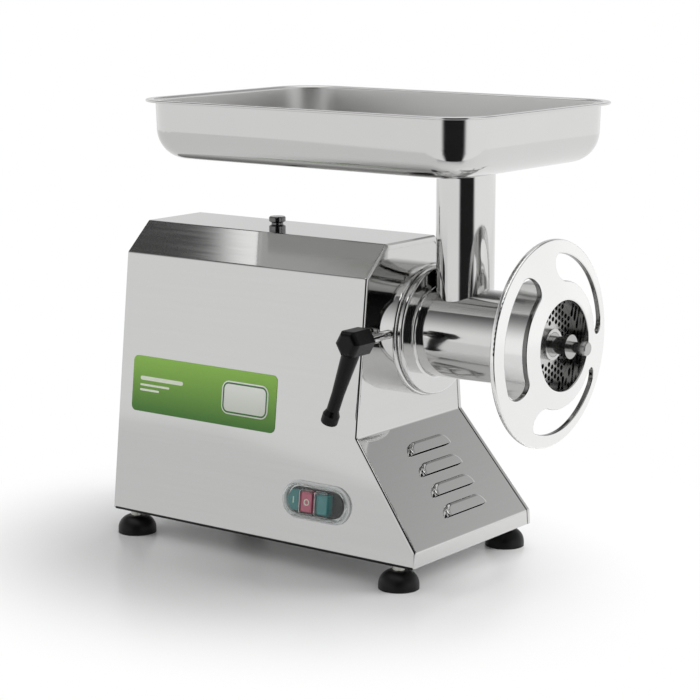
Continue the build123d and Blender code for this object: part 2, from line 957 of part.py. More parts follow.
def cover_bolt_places():
    """Bolt centres round the gearbox outline."""
    ring = gearbox_cavity_radius + gearbox_wall / 2
    diagonal = ring * math.sin(math.radians(45))
    middle = (axis_height + motor_height) / 2
    places = []
    for side in (-1, 1):
        places.append((side * diagonal, axis_height + diagonal))
        places.append((side * ring, middle))
        places.append((side * diagonal, motor_height - diagonal))
    return places


def make_gearbox_housing():
    """Cast housing with bearing pockets in its rear wall and a flat foot."""
    body = gearbox_slab(gearbox_radius, housing_back, cover_back)
    body += rod(motor_radius, housing_back, cavity_back, motor_height)
    body += block(
        (housing_back, cover_back),
        (-gearbox_foot_half_width, gearbox_foot_half_width),
        (gearbox_foot_bottom, motor_height - gearbox_cavity_radius),
    )
    body -= gearbox_slab(gearbox_cavity_radius, cavity_back, cover_back + overshoot)
    body -= rod(motor_front_outer, housing_back - overshoot, housing_back + motor_front_width, motor_height)
    body -= hole(motor_front_bore + shaft_room, housing_back, cavity_back, motor_height)
    small_pocket = cavity_back - small_bearing_width
    body -= rod(small_bearing_outer, small_pocket, cavity_back + overshoot, layshaft_height)
    body -= rod(output_rear_outer, cavity_back - output_rear_width, cavity_back + overshoot)
    bolt_end = panel_back - cover_bolt_length
    for across, height in cover_bolt_places():
        body -= rod(cover_bolt_radius, bolt_end, cover_back + overshoot, height, across)
    return body


def make_gearbox_cover():
    """Front cover of the gearbox, with the output bearing and seal in it."""
    cover = gearbox_slab(gearbox_radius, cover_back, panel_back)
    cover -= hole(output_front_outer, cover_back, panel_back)
    small_pocket = cover_back + small_bearing_width
    cover -= rod(small_bearing_outer, cover_back - overshoot, small_pocket, layshaft_height)
    for across, height in cover_bolt_places():
        cover -= hole(cover_bolt_radius, cover_back, panel_back, height, across)
        cover -= rod(
            cover_bolt_head_radius + hole_clearance, panel_back - cover_bolt_head - hole_clearance,
            panel_back + overshoot, height, across,
        )
    for angle in ring_places(collar_bolt_count):
        grip_end = panel_back - collar_bolt_grip
        cover -= on_circle(collar_bolt_circle, angle, collar_bolt_radius, grip_end, panel_back + overshoot)
    return cover


def make_cover_bolts():
    """Socket-head bolts of the gearbox cover, sunk in it."""
    bolts = []
    head_back = panel_back - cover_bolt_head - hole_clearance
    for across, height in cover_bolt_places():
        head = rod(cover_bolt_head_radius, head_back, panel_back - hole_clearance, height, across)
        shank = rod(cover_bolt_radius, panel_back - cover_bolt_length, head_back, height, across)
        bolts.append((head + shank).solid())
    return Compound(bolts)


def make_gearbox_bracket():
    """Folded steel saddle between the base plate and the gearbox."""
    outer = block(
        (housing_back, cover_back),
        (-bracket_half_width, bracket_half_width),
        (base_top, gearbox_foot_bottom),
    )
    inner_half = bracket_half_width - bracket_wall
    inner = block(
        (housing_back - overshoot, cover_back + overshoot),
        (-inner_half, inner_half),
        (base_top - overshoot, gearbox_foot_bottom - bracket_wall),
    )
    return outer - inner


def make_motor_frame():
    """Round motor frame bolted to the back of the gearbox."""
    return tube(motor_radius, motor_radius - motor_frame_wall, frame_back, housing_back, motor_height)


def make_stator_core():
    """Laminated stator pressed in the frame."""
    outer = motor_radius - motor_frame_wall - seat_clearance
    return tube(outer, rotor_radius + air_gap, stator_back, stator_front, motor_height)


def make_stator_windings():
    """End turns of the winding, one ring at each end of the stator."""
    rings = []
    for start in (stator_back - winding_length, stator_front):
        end = start + winding_length
        rings.append(tube(winding_outer_radius, winding_inner_radius, start, end, motor_height).solid())
    return Compound(rings)


def make_motor_end_shield():
    """Rear end shield with the rear bearing's pocket."""
    shield = rod(motor_radius, shield_back, frame_back, motor_height)
    pocket = frame_back - small_bearing_width
    shield -= rod(small_bearing_outer, pocket, frame_back + overshoot, motor_height)
    return shield - hole(small_bearing_bore + shaft_room, shield_back, frame_back, motor_height)


def make_rotor_shaft():
    """Stepped motor shaft: fan seat, two journals and pinion seat."""
    rear_journal = small_bearing_bore - running_clearance
    front_journal = motor_front_bore - running_clearance
    front_step = housing_back + motor_front_width
    return turned(
        [
            (fan_back, 0),
            (fan_back, pinion_seat_radius),
            (shield_back, pinion_seat_radius),
            (shield_back, rear_journal),
            (frame_back, rear_journal),
            (frame_back, shaft_core_radius),
            (housing_back, shaft_core_radius),
            (housing_back, front_journal),
            (front_step, front_journal),
            (front_step, pinion_seat_radius),
            (first_gear_front, pinion_seat_radius),
            (first_gear_front, 0),
        ],
        motor_height,
    )


def make_rotor_core():
    """Squirrel-cage rotor core on the shaft."""
    return tube(rotor_radius, shaft_core_radius + seat_clearance, stator_back, stator_front, motor_height)


def make_cooling_fan():
    """Radial fan on the rear end of the motor shaft."""
    fan = rod(fan_hub_radius, fan_back, fan_front, motor_height)
    fan += rod(fan_radius, fan_front - fan_blade_thickness, fan_front, motor_height)
    blade = block(
        (fan_back, fan_front),
        (-fan_blade_thickness / 2, fan_blade_thickness / 2),
        (fan_hub_radius / 2, fan_radius - overshoot),
    )
    for angle in ring_places(fan_blades, 0):
        fan += Pos(0, 0, motor_height) * Rot(angle, 0, 0) * blade
    return fan - hole(pinion_seat_radius + seat_clearance, fan_back, fan_front, motor_height)


def bearing(bore, outer, start, width, height):
    """Rolling bearing drawn as one ring with grooved faces."""
    ring = tube(outer - seat_clearance, bore, start, start + width, height)
    middle = (bore + outer) / 2
    groove = (outer - bore) / 6
    depth = width / 10
    for face in (start, start + width - depth):
        ring -= tube(middle + groove, middle - groove, face, face + depth, height)
    return ring


def make_shaft_seal():
    """Oil seal in front of the output bearing."""
    start = cover_back + output_front_width
    return tube(output_front_outer - seat_clearance, hub_radius, start, panel_back, axis_height)


def make_capacitor():
    """Motor capacitor standing on the base plate."""
    can_top = base_top + capacitor_height
    can = post(capacitor_radius, base_top, can_top, capacitor_distance, capacitor_across)
    return fillet(can.edges().group_by(Axis.Z)[-1], capacitor_radius / 8)


def make_contactor():
    """Reversing contactor on the base plate."""
    half_length = contactor_length / 2
    half_width = contactor_width / 2
    body = block(
        (contactor_distance - half_length, contactor_distance + half_length),
        (contactor_across - half_width, contactor_across + half_width),
        (base_top, base_top + contactor_height),
    )
    return chamfer(body.edges().group_by(Axis.Z)[-1], contactor_height / 20)


# Head collar and clamp


def make_head_collar():
    """Round cup on the front panel that takes the barrel's spigot."""
    collar = rod(collar_radius, panel_face, collar_front)
    collar = fillet(collar.edges().group_by(Axis.X)[-1], collar_round)
    collar -= rod(collar_bore, collar_floor_face, collar_front + overshoot)
    collar -= rod(hub_radius + hub_clearance, panel_face - overshoot, collar_floor_face + overshoot)
    for angle in ring_places(collar_bolt_count):
        collar -= collar_bolt_hole(angle, panel_face, collar_floor_face)
    return collar - clamp_rod(clamp_screw_radius + running_clearance, 0, collar_radius + overshoot)


def make_collar_bolts():
    """Socket-head bolts that hold the collar to the gearbox cover."""
    bolts = []
    for angle in ring_places(collar_bolt_count):
        head = on_circle(
            collar_bolt_circle, angle, collar_bolt_head_radius, collar_floor_face,
            collar_floor_face + collar_bolt_head,
        )
        shank = on_circle(
            collar_bolt_circle, angle, collar_bolt_radius, panel_back - collar_bolt_grip, collar_floor_face
        )
        bolts.append((head + shank).solid())
    return Compound(bolts)


def clamp_rod(radius, start, end):
    """Cylinder on the clamp screw's line, from start to end out along -y."""
    bar = Cylinder(radius, end - start, align=(Align.CENTER, Align.CENTER, Align.MIN))
    return Pos(clamp_x, -start, clamp_height) * Rot(90, 0, 0) * bar


def clamp_tip():
    """Distance of the clamp screw's tip from the middle plane."""
    return math.sqrt(collar_bore**2 - (clamp_rise - clamp_screw_radius) ** 2) + clamp_tip_gap


def make_clamp_screw():
    """Plated clamp screw with a round shoulder next to the lever."""
    screw = clamp_rod(clamp_screw_radius, clamp_tip(), clamp_hub_start + clamp_screw_grip)
    shoulder_start = clamp_hub_start - clamp_screw_collar_length
    return screw + clamp_rod(clamp_screw_collar_radius, shoulder_start, clamp_hub_start)


def make_clamp_lever():
    """Moulded lever: six-sided hub and a round arm with a flared end."""
    hub = extrude(RegularPolygon(clamp_hub_radius, 6), clamp_hub_end - clamp_hub_start)
    hub = fillet(hub.edges().group_by(Axis.Z)[-1], clamp_hub_round)
    hub = Pos(clamp_x, -clamp_hub_start, clamp_height) * Rot(90, 0, 0) * hub
    waist_end = clamp_arm_length - clamp_arm_tip_length
    profile = [
        (0, 0),
        (clamp_arm_root_radius, 0),
        (clamp_arm_root_radius, clamp_hub_radius),
        (clamp_arm_waist_radius, 0.75 * waist_end),
        (clamp_arm_waist_radius, waist_end),
        (clamp_arm_tip_radius, waist_end + clamp_arm_tip_length / 3),
        (clamp_arm_tip_radius, clamp_arm_length),
        (0, clamp_arm_length),
    ]
    arm = revolve(Plane.XZ * make_face(Polyline(*profile, close=True)), Axis.Z)
    arm = fillet(arm.edges().group_by(Axis.Z)[-1], clamp_arm_tip_radius / 3)
    arm = Pos(clamp_x, -clamp_arm_across, clamp_height) * Rot(0, 180 + clamp_arm_lean, 0) * arm
    grip_end = clamp_hub_start + clamp_screw_grip
    bore = clamp_rod(clamp_screw_radius + seat_clearance, clamp_hub_start - overshoot, grip_end)
    return hub + arm - bore


# Head


def make_barrel():
    """Barrel with rear spigot and flange, flared threaded mouth and feed neck."""
    flare_start = chamber_front - barrel_flare
    outline = make_face(
        Polyline(
            (spigot_back, 0),
            (spigot_back, spigot_radius),
            (flange_back, spigot_radius),
            (flange_back, barrel_flange_radius),
            (flange_front, barrel_flange_radius),
            (flange_front, barrel_radius),
            (flare_start, barrel_radius),
            (chamber_front - overshoot, mouth_radius),
            (mouth_front, mouth_radius),
            (mouth_front, 0),
            close=True,
        )
    )
    cove = outline.vertices().sort_by_distance((flange_front, barrel_radius, 0))[0]
    outline = fillet(cove, barrel_cove)
    rim = [v for v in outline.vertices() if abs(v.Y - barrel_flange_radius) < 0.01]
    outline = fillet(rim, barrel_flange_round)
    body = Pos(0, 0, axis_height) * revolve(Plane.XZ * outline, Axis.X)
    body += post(neck_radius, axis_height, neck_top, neck_x, 0)
    body -= rod(chamber_radius, chamber_back, chamber_front + overshoot)
    body -= rod(mouth_bore, chamber_front, mouth_front + overshoot)
    body -= rod(spigot_bore, spigot_back - overshoot, rear_wall_back)
    body -= rod(worm_journal_radius + bush_wall, rear_wall_back - overshoot, chamber_back + overshoot)
    body -= post(neck_bore, axis_height, neck_top + overshoot, neck_x, 0)
    return body - make_plate_key()


def make_worm_bush():
    """Plain bush in the barrel's rear wall."""
    outer = worm_journal_radius + bush_wall - seat_clearance
    return tube(outer, worm_journal_radius + running_clearance, rear_wall_back, chamber_back)


def make_plate_key():
    """Key in the barrel's mouth that stops the plate turning."""
    half = key_width / 2
    low = axis_height - mouth_bore - key_depth / 2
    high = axis_height - mouth_bore + key_depth
    return block((plate_back, mouth_front - plate_proud), (-half, half), (low, high))


def make_worm():
    """Feed worm: drive square, journal, single-start flight and knife square."""
    journal_end = chamber_back + worm_end_gap
    flight_end = chamber_front - worm_end_gap
    drive_side = drive_square - 2 * drive_clearance
    shank = square_bar(drive_side, socket_floor + joint_gap, rear_wall_back)
    journal = rod(worm_journal_radius, rear_wall_back, journal_end)
    flight_radius = chamber_radius - worm_clearance
    blade = make_face(
        Polyline(
            (0, -worm_blade_root / 2),
            (chamber_radius, -worm_blade_tip / 2),
            (chamber_radius, worm_blade_tip / 2),
            (0, worm_blade_root / 2),
            close=True,
        )
    )
    section = Circle(worm_core_radius) + (blade & Circle(flight_radius))
    length = flight_end - journal_end
    twist = 360 * length / worm_pitch
    flight = Solid.extrude_linear_with_rotation(section.face(), (0, 0, 0), (0, 0, length), twist)
    flight = Pos(journal_end, 0, axis_height) * Rot(0, 90, 0) * flight
    nose = square_bar(knife_square, flight_end - overshoot, knife_front)
    grip = rod(pin_radius, chamber_front - pin_grip, knife_front + overshoot)
    return Part() + [shank, journal, flight, nose] - grip


def make_worm_pin():
    """Bright pin in the worm's nose: it runs in the plate and pulls the worm out."""
    grip_back = chamber_front - pin_grip
    journal_end = plate_front + plate_boss_rise
    head_back = pin_end - pin_head_width
    collar_front_face = head_back - pin_waist_length
    collar_back = collar_front_face - pin_collar_width
    return turned(
        [
            (grip_back, 0),
            (grip_back, pin_radius - seat_clearance),
            (knife_front, pin_radius - seat_clearance),
            (knife_front, pin_collar_radius),
            (journal_end, pin_collar_radius),
            (journal_end, pin_neck_radius),
            (collar_back, pin_neck_radius),
            (collar_back, pin_collar_radius),
            (collar_front_face, pin_collar_radius),
            (collar_front_face, pin_waist_radius),
            (head_back, pin_waist_radius),
            (head_back, pin_radius),
            (pin_end - pin_bevel, pin_radius),
            (pin_end, pin_radius - pin_bevel),
            (pin_end, 0),
        ]
    )


def make_knife():
    """Cross knife on the worm's square nose."""
    knife = rod(knife_hub_radius, knife_back, knife_front)
    blade = block(
        (knife_back, knife_front), (-knife_blade_width / 2, knife_blade_width / 2), (0, knife_radius)
    )
    for angle in ring_places(knife_blades, 0):
        knife += Pos(0, 0, axis_height) * Rot(angle, 0, 0) * blade
    hole_side = knife_square + 2 * drive_clearance
    return knife - square_bar(hole_side, knife_back - overshoot, knife_front + overshoot)


def make_grinding_plate():
    """Perforated plate with a centre boss and a notch for its key."""
    plate = rod(plate_radius, plate_back, plate_front)
    plate += rod(plate_boss_radius, plate_front, plate_front + plate_boss_rise)
    plate -= hole(pin_collar_radius + plate_centre_clearance, plate_back, plate_front + plate_boss_rise)
    half = key_width / 2 + key_gap
    notch_top = axis_height - mouth_bore + key_depth + key_gap
    notch_bottom = axis_height - plate_radius - overshoot
    notch_ends = (plate_back - overshoot, plate_front + overshoot)
    plate -= block(notch_ends, (-half, half), (notch_bottom, notch_top))
    drill = [
        rod(plate_hole_radius, plate_back - overshoot, plate_front + overshoot, axis_height + rise, across)
        for across, rise in plate_hole_places()
    ]
    return plate - drill


def plate_hole_places():
    """Staggered upright columns of holes between the centre and the plate's edge."""
    outer = plate_radius - plate_edge
    column_pitch = plate_hole_pitch * math.sqrt(3) / 2
    columns = int(outer / column_pitch)
    rows = int(outer / plate_hole_pitch) + 1
    places = []
    for column in range(-columns, columns + 1):
        stagger = plate_hole_pitch / 2 if column % 2 else 0.0
        for row in range(-rows, rows + 1):
            across = column * column_pitch
            rise = row * plate_hole_pitch + stagger
            if plate_blank_radius < math.hypot(across, rise) < outer:
                places.append((across, rise))
    return places


def make_ring_wheel():
    """Dished ring wheel whose hub screws over the barrel's mouth."""
    rim_back = wheel_rim_face - wheel_plate
    slope = wheel_dish / (wheel_radius - wheel_opening)
    hub_joint = wheel_face - wheel_plate - slope * (wheel_hub_radius - wheel_opening)
    outline = make_face(
        Polyline(
            (wheel_hub_back, hub_thread_radius),
            (wheel_hub_back, wheel_hub_radius),
            (hub_joint, wheel_hub_radius),
            (rim_back, wheel_radius),
            (wheel_rim_face, wheel_radius),
            (wheel_face, wheel_opening),
            (wheel_seat, wheel_opening),
            (wheel_seat, hub_thread_radius),
            close=True,
        )
    )
    edges = [v for v in outline.vertices() if v.Y > wheel_radius - 0.01 or v.X > wheel_face - 0.01]
    outline = fillet(edges, wheel_round)
    wheel = Pos(0, 0, axis_height) * revolve(Plane.XZ * outline, Axis.X)
    slots = []
    for angle in ring_places(wheel_slots, wheel_slot_turn):
        path = CenterArc((0, 0), wheel_slot_radius, angle - wheel_slot_span / 2, wheel_slot_span)
        slot = extrude(Plane.YZ * SlotArc(path, wheel_slot_width), wheel_face)
        slots.append(Pos(wheel_hub_back, 0, axis_height) * slot)
    slotted = wheel - slots
    lips = new_edges(wheel, *slots, combined=slotted)
    return fillet(lips, wheel_slot_round)


# Hopper tray


def tray_pan(inset):
    """Pan with leaning walls and a rounded bottom, drawn in by inset."""
    length = tray_length - 2 * tray_flange - 2 * inset
    width = tray_width - 2 * tray_flange - 2 * inset
    corner = tray_corner - tray_flange / 2 - inset
    pan = extrude(RectangleRounded(length, width, corner), -(tray_depth - inset), taper=tray_lean)
    pan = fillet(pan.edges().group_by(Axis.Z)[0], tray_base_round - inset)
    return Pos(tray_middle, 0, tray_top_height) * pan


def make_hopper_tray():
    """Pressed tray with a flat rim and a spout that drops into the neck."""
    rim = extrude(RectangleRounded(tray_length, tray_width, tray_corner), -tray_hem)
    rim = fillet(rim.edges().filter_by(Plane.XY), tray_hem_round)
    tray = Pos(tray_middle, 0, tray_top_height) * rim + tray_pan(0) - tray_pan(sheet)
    rim_top = tray.faces().filter_by(Plane.XY).sort_by(Axis.Z)[-1]
    pan_edge = rim_top.inner_wires()[0].edges()
    tray = fillet([edge for edge in tray.edges() if edge in pan_edge], tray_rim_round)
    tray += post(spout_radius, tray_bottom - spout_length, tray_bottom + sheet / 2, neck_x, 0)
    spout_end = tray_bottom - spout_length
    return tray - post(spout_bore, spout_end - overshoot, tray_top_height, neck_x, 0)


start_offset, stop_offset, reverse_offset = button_places()

pieces = {
    "casing_wrap": make_casing_wrap(),
    "front_panel": make_front_panel(),
    "rear_panel": make_rear_panel(),
    "base_plate": make_base_plate(),
    "rubber_feet": make_rubber_feet(),
    "foot_studs": make_foot_studs(),
    "foot_nuts": make_foot_nuts(),
    "rear_panel_screws": make_rear_screws(),
    "cable_gland": make_cable_gland(),
    "gland_nut": make_gland_nut(),
    "top_peg": make_top_peg(),
    "peg_nut": make_peg_nut(),
    "side_label": make_side_label(),
    "label_badge": make_label_badge(),
    "switch_bezel": make_switch_bezel(),
    "switch_boot": make_switch_boot(),
    "switch_body": make_switch_body(),
    "start_button": make_button(start_offset),
    "stop_button": make_button(stop_offset),
    "reverse_button": make_button(reverse_offset),
    "gearbox_housing": make_gearbox_housing(),
    "gearbox_cover": make_gearbox_cover(),
    "cover_bolts": make_cover_bolts(),
    "gearbox_bracket": make_gearbox_bracket(),
    "motor_frame": make_motor_frame(),
    "stator_core": make_stator_core(),
    "stator_windings": make_stator_windings(),
    "motor_end_shield": make_motor_end_shield(),
    "rotor_shaft": make_rotor_shaft(),
    "rotor_core": make_rotor_core(),
    "motor_pinion": make_motor_pinion(),
    "cooling_fan": make_cooling_fan(),
    "layshaft": make_layshaft(),
    "layshaft_gear": make_layshaft_gear(),
    "drive_hub": make_drive_hub(),
    "output_gear": make_output_gear(),
    "motor_front_bearing": bearing(
        motor_front_bore, motor_front_outer, housing_back, motor_front_width, motor_height
    ),
    "motor_rear_bearing": bearing(
        small_bearing_bore, small_bearing_outer, frame_back - small_bearing_width, small_bearing_width,
        motor_height,
    ),
    "layshaft_rear_bearing": bearing(
        small_bearing_bore, small_bearing_outer, cavity_back - small_bearing_width, small_bearing_width,
        layshaft_height,
    ),
    "layshaft_front_bearing": bearing(
        small_bearing_bore, small_bearing_outer, cover_back, small_bearing_width, layshaft_height
    ),
    "output_rear_bearing": bearing(
        output_rear_bore, output_rear_outer, cavity_back - output_rear_width, output_rear_width, axis_height
    ),
    "output_front_bearing": bearing(
        hub_radius, output_front_outer, cover_back, output_front_width, axis_height
    ),
    "shaft_seal": make_shaft_seal(),
    "capacitor": make_capacitor(),
    "contactor": make_contactor(),
    "head_collar": make_head_collar(),
    "collar_bolts": make_collar_bolts(),
    "clamp_screw": make_clamp_screw(),
    "clamp_lever": make_clamp_lever(),
    "barrel": make_barrel(),
    "worm_bush": make_worm_bush(),
    "plate_key": make_plate_key(),
    "feed_worm": make_worm(),
    "worm_pin": make_worm_pin(),
    "cross_knife": make_knife(),
    "grinding_plate": make_grinding_plate(),
    "ring_wheel": make_ring_wheel(),
    "hopper_tray": make_hopper_tray(),
}

os.makedirs("parts", exist_ok=True)
for name, piece in pieces.items():
    centred = [Pos(frame_shift, 0, 0) * solid for solid in piece.solids()]
    export_step(Compound(centred), f"parts/{name}.step")
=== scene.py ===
import bpy
import math
import mathutils
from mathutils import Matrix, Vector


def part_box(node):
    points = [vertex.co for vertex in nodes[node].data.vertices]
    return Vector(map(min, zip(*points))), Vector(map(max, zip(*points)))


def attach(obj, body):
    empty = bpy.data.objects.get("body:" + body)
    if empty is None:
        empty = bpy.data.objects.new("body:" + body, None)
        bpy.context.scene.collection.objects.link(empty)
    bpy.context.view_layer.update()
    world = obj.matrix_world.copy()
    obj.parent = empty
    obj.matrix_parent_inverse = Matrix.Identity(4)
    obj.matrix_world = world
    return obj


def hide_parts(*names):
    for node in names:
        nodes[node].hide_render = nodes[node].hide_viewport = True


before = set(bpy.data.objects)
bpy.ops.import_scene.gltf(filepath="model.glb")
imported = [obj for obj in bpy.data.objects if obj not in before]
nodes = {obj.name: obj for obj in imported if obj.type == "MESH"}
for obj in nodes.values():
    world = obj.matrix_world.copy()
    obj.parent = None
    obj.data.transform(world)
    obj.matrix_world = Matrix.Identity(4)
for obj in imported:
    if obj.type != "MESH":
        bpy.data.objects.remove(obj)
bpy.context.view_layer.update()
bpy.ops.object.select_all(action="DESELECT")


# Studio: a white glossy table and sweep under large soft lamps, as for a catalogue picture.
# Steel sees bright walls all round, a dim ceiling with one softbox, and the dark corner where
# the camera stands, and that gives polished rounds their dark bands.


def linear(code):
    """sRGB hex code as a linear colour."""
    parts = [int(code[place:place + 2], 16) / 255 for place in (1, 3, 5)]
    return (*[p / 12.92 if p <= 0.04045 else ((p + 0.055) / 1.055) ** 2.4 for p in parts], 1.0)


def add_node(tree, kind, inputs=None, **settings):
    """Adds a node with its settings; an input takes a value or another node's socket."""
    made = tree.nodes.new(kind)
    for name, value in settings.items():
        setattr(made, name, value)
    for socket, value in (inputs or {}).items():
        if isinstance(value, bpy.types.NodeSocket):
            tree.links.new(value, made.inputs[socket])
        else:
            made.inputs[socket].default_value = value
    return made


# Edges of the walls and of the corner are cosines from a heading. Ceiling and softbox begin at
# heights of a direction, where 0 is level and 1 is straight up.
camera_heading = (0.610, -0.792, 0.0)
left_heading = (-0.6, -0.8, 0.0)
corner_edge, corner_core = 0.83, 0.925
corner_light = 0.015
right_wall_edge, left_wall_edge = -0.6, 0.9
right_wall_light, left_wall_light = 1.08, 0.95
back_wall_core, back_wall_edge = -1.0, -0.85
back_wall_light = 0.74
ceiling_start, ceiling_end = 0.08, 0.84
ceiling_light = 0.04
softbox_edge, softbox_core = 0.764, 0.772
softbox_light = 1.2
fill_light = 0.50

world = bpy.data.worlds.new("white_studio")
bpy.context.scene.world = world
world.use_nodes = True
tree = world.node_tree
tree.nodes.clear()
direction = add_node(tree, "ShaderNodeTexCoord").outputs["Generated"]
height = add_node(tree, "ShaderNodeSeparateXYZ", {"Vector": direction}).outputs["Z"]
level = add_node(tree, "ShaderNodeVectorMath", {0: direction, 1: (1.0, 1.0, 0.0)}, operation="MULTIPLY")
heading = add_node(tree, "ShaderNodeVectorMath", {0: level.outputs[0]}, operation="NORMALIZE")
towards_camera = add_node(
    tree, "ShaderNodeVectorMath", {0: heading.outputs[0], 1: camera_heading}, operation="DOT_PRODUCT"
).outputs["Value"]
camera_corner = add_node(
    tree, "ShaderNodeMapRange",
    {"Value": towards_camera, "From Min": corner_edge, "From Max": corner_core,
     "To Min": 1.0, "To Max": corner_light},
    interpolation_type="SMOOTHSTEP",
)
towards_left = add_node(
    tree, "ShaderNodeVectorMath", {0: direction, 1: left_heading}, operation="DOT_PRODUCT"
).outputs["Value"]
side_walls = add_node(
    tree, "ShaderNodeMapRange",
    {"Value": towards_left, "From Min": right_wall_edge, "From Max": left_wall_edge,
     "To Min": right_wall_light, "To Max": left_wall_light},
)
back_wall = add_node(
    tree, "ShaderNodeMapRange",
    {"Value": towards_camera, "From Min": back_wall_core, "From Max": back_wall_edge,
     "To Min": back_wall_light, "To Max": 1.0},
)
ceiling = add_node(
    tree, "ShaderNodeMapRange",
    {"Value": height, "From Min": ceiling_start, "From Max": ceiling_end,
     "To Min": 1.0, "To Max": ceiling_light},
    interpolation_type="SMOOTHSTEP",
)
softbox = add_node(
    tree, "ShaderNodeMapRange",
    {"Value": height, "From Min": softbox_edge, "From Max": softbox_core,
     "To Min": 0.0, "To Max": softbox_light},
    interpolation_type="SMOOTHSTEP",
)
front_walls = add_node(
    tree, "ShaderNodeMath", {0: side_walls.outputs[0], 1: camera_corner.outputs[0]}, operation="MULTIPLY"
)
walls = add_node(
    tree, "ShaderNodeMath", {0: front_walls.outputs[0], 1: back_wall.outputs[0]}, operation="MULTIPLY"
)
seen_by_steel = add_node(
    tree, "ShaderNodeMath", {0: ceiling.outputs[0], 1: walls.outputs[0], 2: softbox.outputs[0]},
    operation="MULTIPLY_ADD",
)
rays = add_node(tree, "ShaderNodeLightPath")
room = add_node(tree, "ShaderNodeBackground", {"Strength": seen_by_steel.outputs[0]})
fill = add_node(tree, "ShaderNodeBackground", {"Strength": fill_light})
white = add_node(tree, "ShaderNodeBackground", {"Strength": 1.0})
for backdrop in (room, fill, white):
    backdrop.inputs["Color"].default_value = linear("#FFFFFF")
steel_or_fill = add_node(
    tree, "ShaderNodeMixShader", {0: rays.outputs["Is Glossy Ray"], 1: fill.outputs[0], 2: room.outputs[0]}
)
through = add_node(
    tree, "ShaderNodeMixShader",
    {0: rays.outputs["Is Transmission Ray"], 1: steel_or_fill.outputs[0], 2: white.outputs[0]},
)
seen = add_node(
    tree, "ShaderNodeMixShader",
    {0: rays.outputs["Is Camera Ray"], 1: through.outputs[0], 2: white.outputs[0]},
)
add_node(tree, "ShaderNodeOutputWorld", {"Surface": seen.outputs[0]})

# The table's paper is white and slightly glossy. Away from the machine it fades into the sweep,
# which steel sees a little darker on the left, and unlit in the camera's corner.
table_size = 4.6
table_front = 0.55
table_back = table_size / 2 - table_front
camera_turn = math.radians(36.7)
shadow_centre = (-0.03, 0.0, 0.0)
fade_start, fade_end = 0.23, 0.46
unlit_edge, unlit_core = 0.80, 0.93
unlit_start, unlit_end = 0.40, 0.80
unlit_share = 0.95
unlit_light = 0.02
right_floor_edge, left_floor_edge = -0.8, 0.6
left_floor_drop = 0.21

bpy.ops.mesh.primitive_plane_add(
    size=table_size, rotation=(0, 0, camera_turn),
    location=(-table_back * math.sin(camera_turn), table_back * math.cos(camera_turn), 0),
)
bpy.ops.object.transform_apply(location=True, rotation=True, scale=True)
table = bpy.context.object
table.name = "table_paper"
paper = bpy.data.materials.new("white_glazed_paper")
paper.use_nodes = True
tree = paper.node_tree
tree.nodes.clear()
rays = add_node(tree, "ShaderNodeLightPath")
place = add_node(tree, "ShaderNodeTexCoord").outputs["Object"]
from_machine = add_node(
    tree, "ShaderNodeVectorMath", {0: place, 1: shadow_centre}, operation="DISTANCE"
).outputs["Value"]
fade = add_node(
    tree, "ShaderNodeMapRange",
    {"Value": from_machine, "From Min": fade_start, "From Max": fade_end, "To Min": 0.0, "To Max": 1.0},
    interpolation_type="SMOOTHSTEP",
)
seen = add_node(
    tree, "ShaderNodeMath",
    {0: rays.outputs["Is Camera Ray"], 1: rays.outputs["Is Glossy Ray"]}, operation="MAXIMUM",
)
sweep_share = add_node(tree, "ShaderNodeMath", {0: fade.outputs[0], 1: seen.outputs[0]}, operation="MULTIPLY")
outwards = add_node(tree, "ShaderNodeVectorMath", {0: place}, operation="NORMALIZE").outputs[0]
towards_camera = add_node(
    tree, "ShaderNodeVectorMath", {0: outwards, 1: camera_heading}, operation="DOT_PRODUCT"
)
camera_sector = add_node(
    tree, "ShaderNodeMapRange",
    {"Value": towards_camera.outputs["Value"], "From Min": unlit_edge, "From Max": unlit_core,
     "To Min": 0.0, "To Max": 1.0},
    interpolation_type="SMOOTHSTEP",
)
beyond_machine = add_node(
    tree, "ShaderNodeMapRange",
    {"Value": from_machine, "From Min": unlit_start, "From Max": unlit_end,
     "To Min": 0.0, "To Max": unlit_share},
    interpolation_type="SMOOTHSTEP",
)
unlit = add_node(
    tree, "ShaderNodeMath", {0: camera_sector.outputs[0], 1: beyond_machine.outputs[0]}, operation="MULTIPLY"
)
unlit_for_steel = add_node(
    tree, "ShaderNodeMath", {0: unlit.outputs[0], 1: rays.outputs["Is Glossy Ray"]}, operation="MULTIPLY"
)
towards_left = add_node(
    tree, "ShaderNodeVectorMath", {0: outwards, 1: left_heading}, operation="DOT_PRODUCT"
)
left_drop = add_node(
    tree, "ShaderNodeMapRange",
    {"Value": towards_left.outputs["Value"], "From Min": right_floor_edge, "From Max": left_floor_edge,
     "To Min": 0.0, "To Max": -left_floor_drop},
)
sweep_light = add_node(
    tree, "ShaderNodeMath", {0: left_drop.outputs[0], 1: rays.outputs["Is Glossy Ray"], 2: 1.0},
    operation="MULTIPLY_ADD",
)
glazed = add_node(
    tree, "ShaderNodeBsdfPrincipled",
    {"Base Color": linear("#F2F2F2"), "Roughness": 0.22, "Specular IOR Level": 0.3},
)
sweep = add_node(
    tree, "ShaderNodeEmission", {"Color": linear("#FFFFFF"), "Strength": sweep_light.outputs[0]}
)
dark = add_node(tree, "ShaderNodeEmission", {"Color": linear("#FFFFFF"), "Strength": unlit_light})
lit_table = add_node(
    tree, "ShaderNodeMixShader", {0: sweep_share.outputs[0], 1: glazed.outputs[0], 2: sweep.outputs[0]}
)
seen_table = add_node(
    tree, "ShaderNodeMixShader", {0: unlit_for_steel.outputs[0], 1: lit_table.outputs[0], 2: dark.outputs[0]}
)
